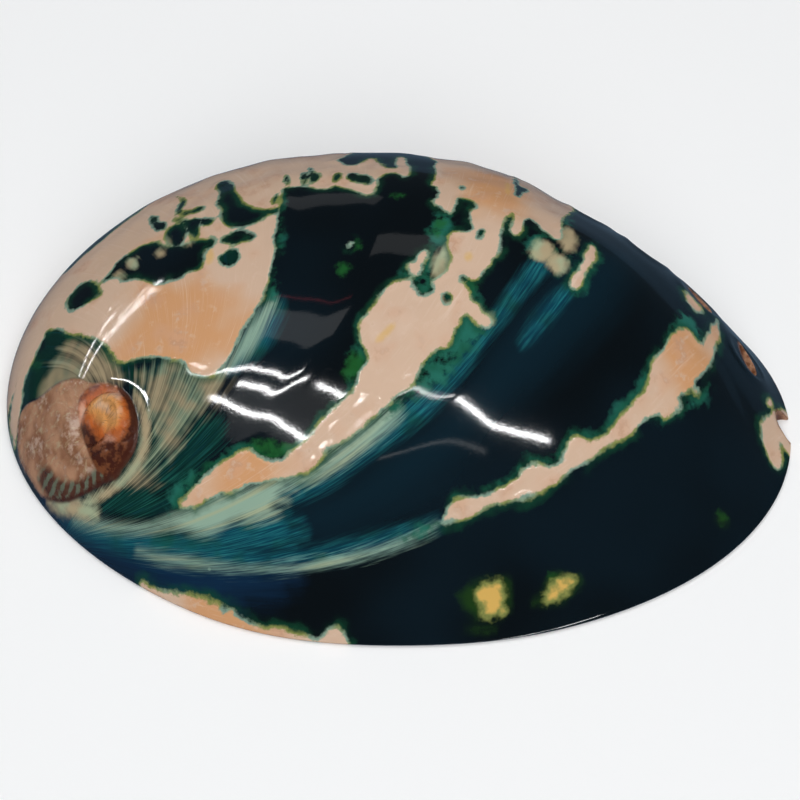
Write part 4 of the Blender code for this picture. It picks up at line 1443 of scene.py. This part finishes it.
# Lamps that show only in the polish:
# from one direction to another as seen from the shell, width in degrees and radiance
STRIPS = (
    ((-0.69, -0.04, 0.72), (-0.42, -0.20, 0.88), 0.9, 62.0),
    ((-0.58, -0.20, 0.79), (-0.33, -0.33, 0.885), 1.3, 62.0),
    ((-0.65, -0.22, 0.73), (-0.38, -0.52, 0.76), 1.2, 62.0),
    ((-0.38, -0.52, 0.76), (-0.27, -0.42, 0.87), 0.8, 62.0),
    ((-0.03, -0.49, 0.87), (0.10, -0.50, 0.86), 0.5, 45.0),
    ((0.12, -0.52, 0.845), (0.31, -0.68, 0.665), 1.1, 62.0),
    ((0.31, -0.68, 0.665), (0.49, -0.65, 0.58), 1.1, 62.0),
    ((-0.67, 0.57, 0.47), (-0.90, 0.18, 0.40), 0.6, 55.0),
    ((-0.78, 0.50, 0.37), (-0.90, 0.27, 0.33), 0.5, 55.0),
    ((-0.90, -0.13, 0.41), (-0.84, -0.12, 0.53), 1.5, 62.0),
    ((-0.50, 0.13, 0.86), (-0.24, 0.045, 0.97), 11.0, 1.0),
    ((-0.60, -0.32, 0.73), (-0.34, -0.42, 0.84), 17.0, 0.7),
    ((-0.31, 0.88, 0.34), (-0.18, 0.84, 0.51), 6.0, 0.4),
    ((-0.19, 0.57, 0.80), (-0.075, 0.56, 0.82), 9.0, 0.6),
    ((-0.07, -0.71, 0.70), (0.28, -0.75, 0.60), 1.0, 1.8),
)
RED_STRIP = ((-0.472, 0.304, 0.827), (-0.243, 0.231, 0.942), 0.35, 2.5)
RED = (1.0, 0.12, 0.15)
STRIP_DISTANCE = 0.9

# Wide soft lamps that light the shell and the floor but don't show in the polish:
# place, side and share of the irradiance
SOFT_LAMPS = (
    ((0.0, 0.15, 1.1), 1.3, 0.70),
    ((0.1, -0.75, 0.85), 0.9, 0.48),
)

# The light from all round, and the blue surroundings that the polish shows near the rim
ROOM_COLOUR = (0.72, 0.86, 1.0, 1.0)
BLUE_SHEET_SIDE = 6.0
BLUE_SHEET_DEPTH = 0.5
BLUE_SHEET_COLOUR = (0.22, 0.50, 0.85)


def add_lamp(name, middle, across, length, width, energy):
    """A rectangular lamp that faces the shell."""
    lamp = bpy.data.lights.new(name, "AREA")
    lamp.shape = "RECTANGLE"
    lamp.size = length
    lamp.size_y = width
    lamp.energy = energy
    held = bpy.data.objects.new(name, lamp)
    z_axis = middle.normalized()
    y_axis = z_axis.cross(across).normalized()
    x_axis = y_axis.cross(z_axis)
    turned = Matrix((x_axis, y_axis, z_axis)).transposed().to_4x4()
    held.matrix_world = Matrix.Translation(middle) @ turned
    bpy.context.scene.collection.objects.link(held)
    return held


def add_blue_below(radiance):
    """A blue sheet below the floor that shows only in the polish, as the room's lower half does."""
    side = BLUE_SHEET_SIDE
    middle = Vector((0.0, 0.0, -BLUE_SHEET_DEPTH))
    held = add_lamp("blue_below", middle, Vector((1.0, 0.0, 0.0)), side, side, radiance * side**2 * np.pi)
    held.data.color = BLUE_SHEET_COLOUR
    held.visible_diffuse = False


def add_strip(name, start, end, width, radiance):
    """A lamp that spans two directions and shows only in the polish."""
    start, end = Vector(start).normalized(), Vector(end).normalized()
    length = (end - start).length * STRIP_DISTANCE
    breadth = np.radians(width) * STRIP_DISTANCE
    middle = (start + end).normalized() * STRIP_DISTANCE
    power = radiance * length * breadth * np.pi
    held = add_lamp(name, middle, (end - start).normalized(), length, breadth, power)
    held.visible_diffuse = False
    return held


def add_soft_lamp(name, place, side, share):
    """A wide lamp overhead, bright enough to give its share of a white floor's light."""
    middle = Vector(place)
    energy = share * np.pi**2 * middle.length**3 / middle.z
    held = add_lamp(name, middle, Vector((1.0, 0.0, 0.0)), side, side, energy)
    held.visible_glossy = False


def add_floor(settings):
    """A wide pale floor, which the polish doesn't show."""
    plane = bmesh.new()
    bmesh.ops.create_grid(plane, x_segments=1, y_segments=1, size=settings.floor_size / 2.0)
    mesh = bpy.data.meshes.new("floor")
    plane.to_mesh(mesh)
    plane.free()
    matte = Finish("floor")
    matte.set(base_color=settings.floor, roughness=0.9, specular_ior_level=0.0)
    mesh.materials.append(matte.material)
    floor = bpy.data.objects.new("floor", mesh)
    bpy.context.scene.collection.objects.link(floor)
    floor.visible_glossy = False


def add_room_light(settings):
    """Faint light from all round."""
    world = bpy.data.worlds.new("room")
    world.use_nodes = True
    background = world.node_tree.nodes["Background"]
    background.inputs["Color"].default_value = ROOM_COLOUR
    background.inputs["Strength"].default_value = settings.sky_strength
    bpy.context.scene.world = world


def add_camera():
    """The camera that the photo fits."""
    tilt = np.radians(CAMERA_ELEVATION)
    lens = bpy.data.cameras.new("camera")
    lens.sensor_width = SENSOR_WIDTH
    lens.lens = FOCAL_PIXELS / FRAME_PIXELS * SENSOR_WIDTH
    lens.clip_start = CLIP_START
    camera = bpy.data.objects.new("camera", lens)
    backward = Vector((0.0, -np.cos(tilt), np.sin(tilt)))
    camera.location = Vector(CAMERA_TARGET) + CAMERA_DISTANCE * backward
    camera.rotation_euler = (np.pi / 2.0 - tilt, 0.0, 0.0)
    bpy.context.scene.collection.objects.link(camera)
    bpy.context.scene.camera = camera


class ABALONE_OT_shell(bpy.types.Operator):
    """Build the polished shell in place of its plain solid"""

    bl_idname = "abalone.shell"
    bl_label = "Build Shell"

    def execute(self, context):
        sizes, colours = context.scene.shell_sizes, context.scene.shell_colours
        materials = (polished_shell(colours), mother_of_pearl(colours), hole_wall(colours))
        mesh = with_holes(skin_mesh(sizes), materials)
        mesh.name = "polished_shell"
        store_layers(mesh)
        mesh.shade_smooth()
        mesh.set_sharp_from_angle(angle=np.radians(SHARP_ANGLE))
        shell = bpy.data.objects.new("polished_shell", mesh)
        context.scene.collection.objects.link(shell)
        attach(shell, "root")
        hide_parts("shell")
        return {"FINISHED"}


class ABALONE_OT_stage(bpy.types.Operator):
    """Build the floor, the lamps and the camera"""

    bl_idname = "abalone.stage"
    bl_label = "Build Stage"

    def execute(self, context):
        settings = context.scene.stage_settings
        add_floor(settings)
        add_room_light(settings)
        for number, (start, end, width, radiance) in enumerate(STRIPS):
            add_strip(f"strip_{number + 1}", start, end, width, radiance * settings.strip_power)
        for number, (place, side, share) in enumerate(SOFT_LAMPS):
            add_soft_lamp(f"soft_lamp_{number + 1}", place, side, share * settings.soft_power)
        add_strip("red_strip", *RED_STRIP).data.color = RED
        add_blue_below(settings.blue_below)
        add_camera()
        context.scene.view_settings.view_transform = "Standard"
        return {"FINISHED"}


class ABALONE_PT_panel(bpy.types.Panel):
    """Lists the pieces of the shell's scene"""

    bl_idname = "ABALONE_PT_panel"
    bl_label = "Abalone Shell"
    bl_space_type = "VIEW_3D"
    bl_region_type = "UI"
    bl_category = "Shell"

    def draw(self, context):
        layout = self.layout
        scene = context.scene
        for settings in (scene.shell_sizes, scene.shell_colours, scene.stage_settings):
            box = layout.box()
            for name in settings.__annotations__:
                box.prop(settings, name)
        layout.operator(ABALONE_OT_shell.bl_idname)
        layout.operator(ABALONE_OT_stage.bl_idname)


CLASSES = (ShellSizes, ShellColours, StageSettings, ABALONE_OT_shell, ABALONE_OT_stage, ABALONE_PT_panel)


def register():
    for entry in CLASSES:
        bpy.utils.register_class(entry)
    bpy.types.Scene.shell_sizes = PointerProperty(type=ShellSizes)
    bpy.types.Scene.shell_colours = PointerProperty(type=ShellColours)
    bpy.types.Scene.stage_settings = PointerProperty(type=StageSettings)


def unregister():
    del bpy.types.Scene.stage_settings
    del bpy.types.Scene.shell_colours
    del bpy.types.Scene.shell_sizes
    for entry in reversed(CLASSES):
        bpy.utils.unregister_class(entry)


def main():
    register()
    bpy.ops.abalone.shell()
    bpy.ops.abalone.stage()


if __name__ == "__main__":
    main()
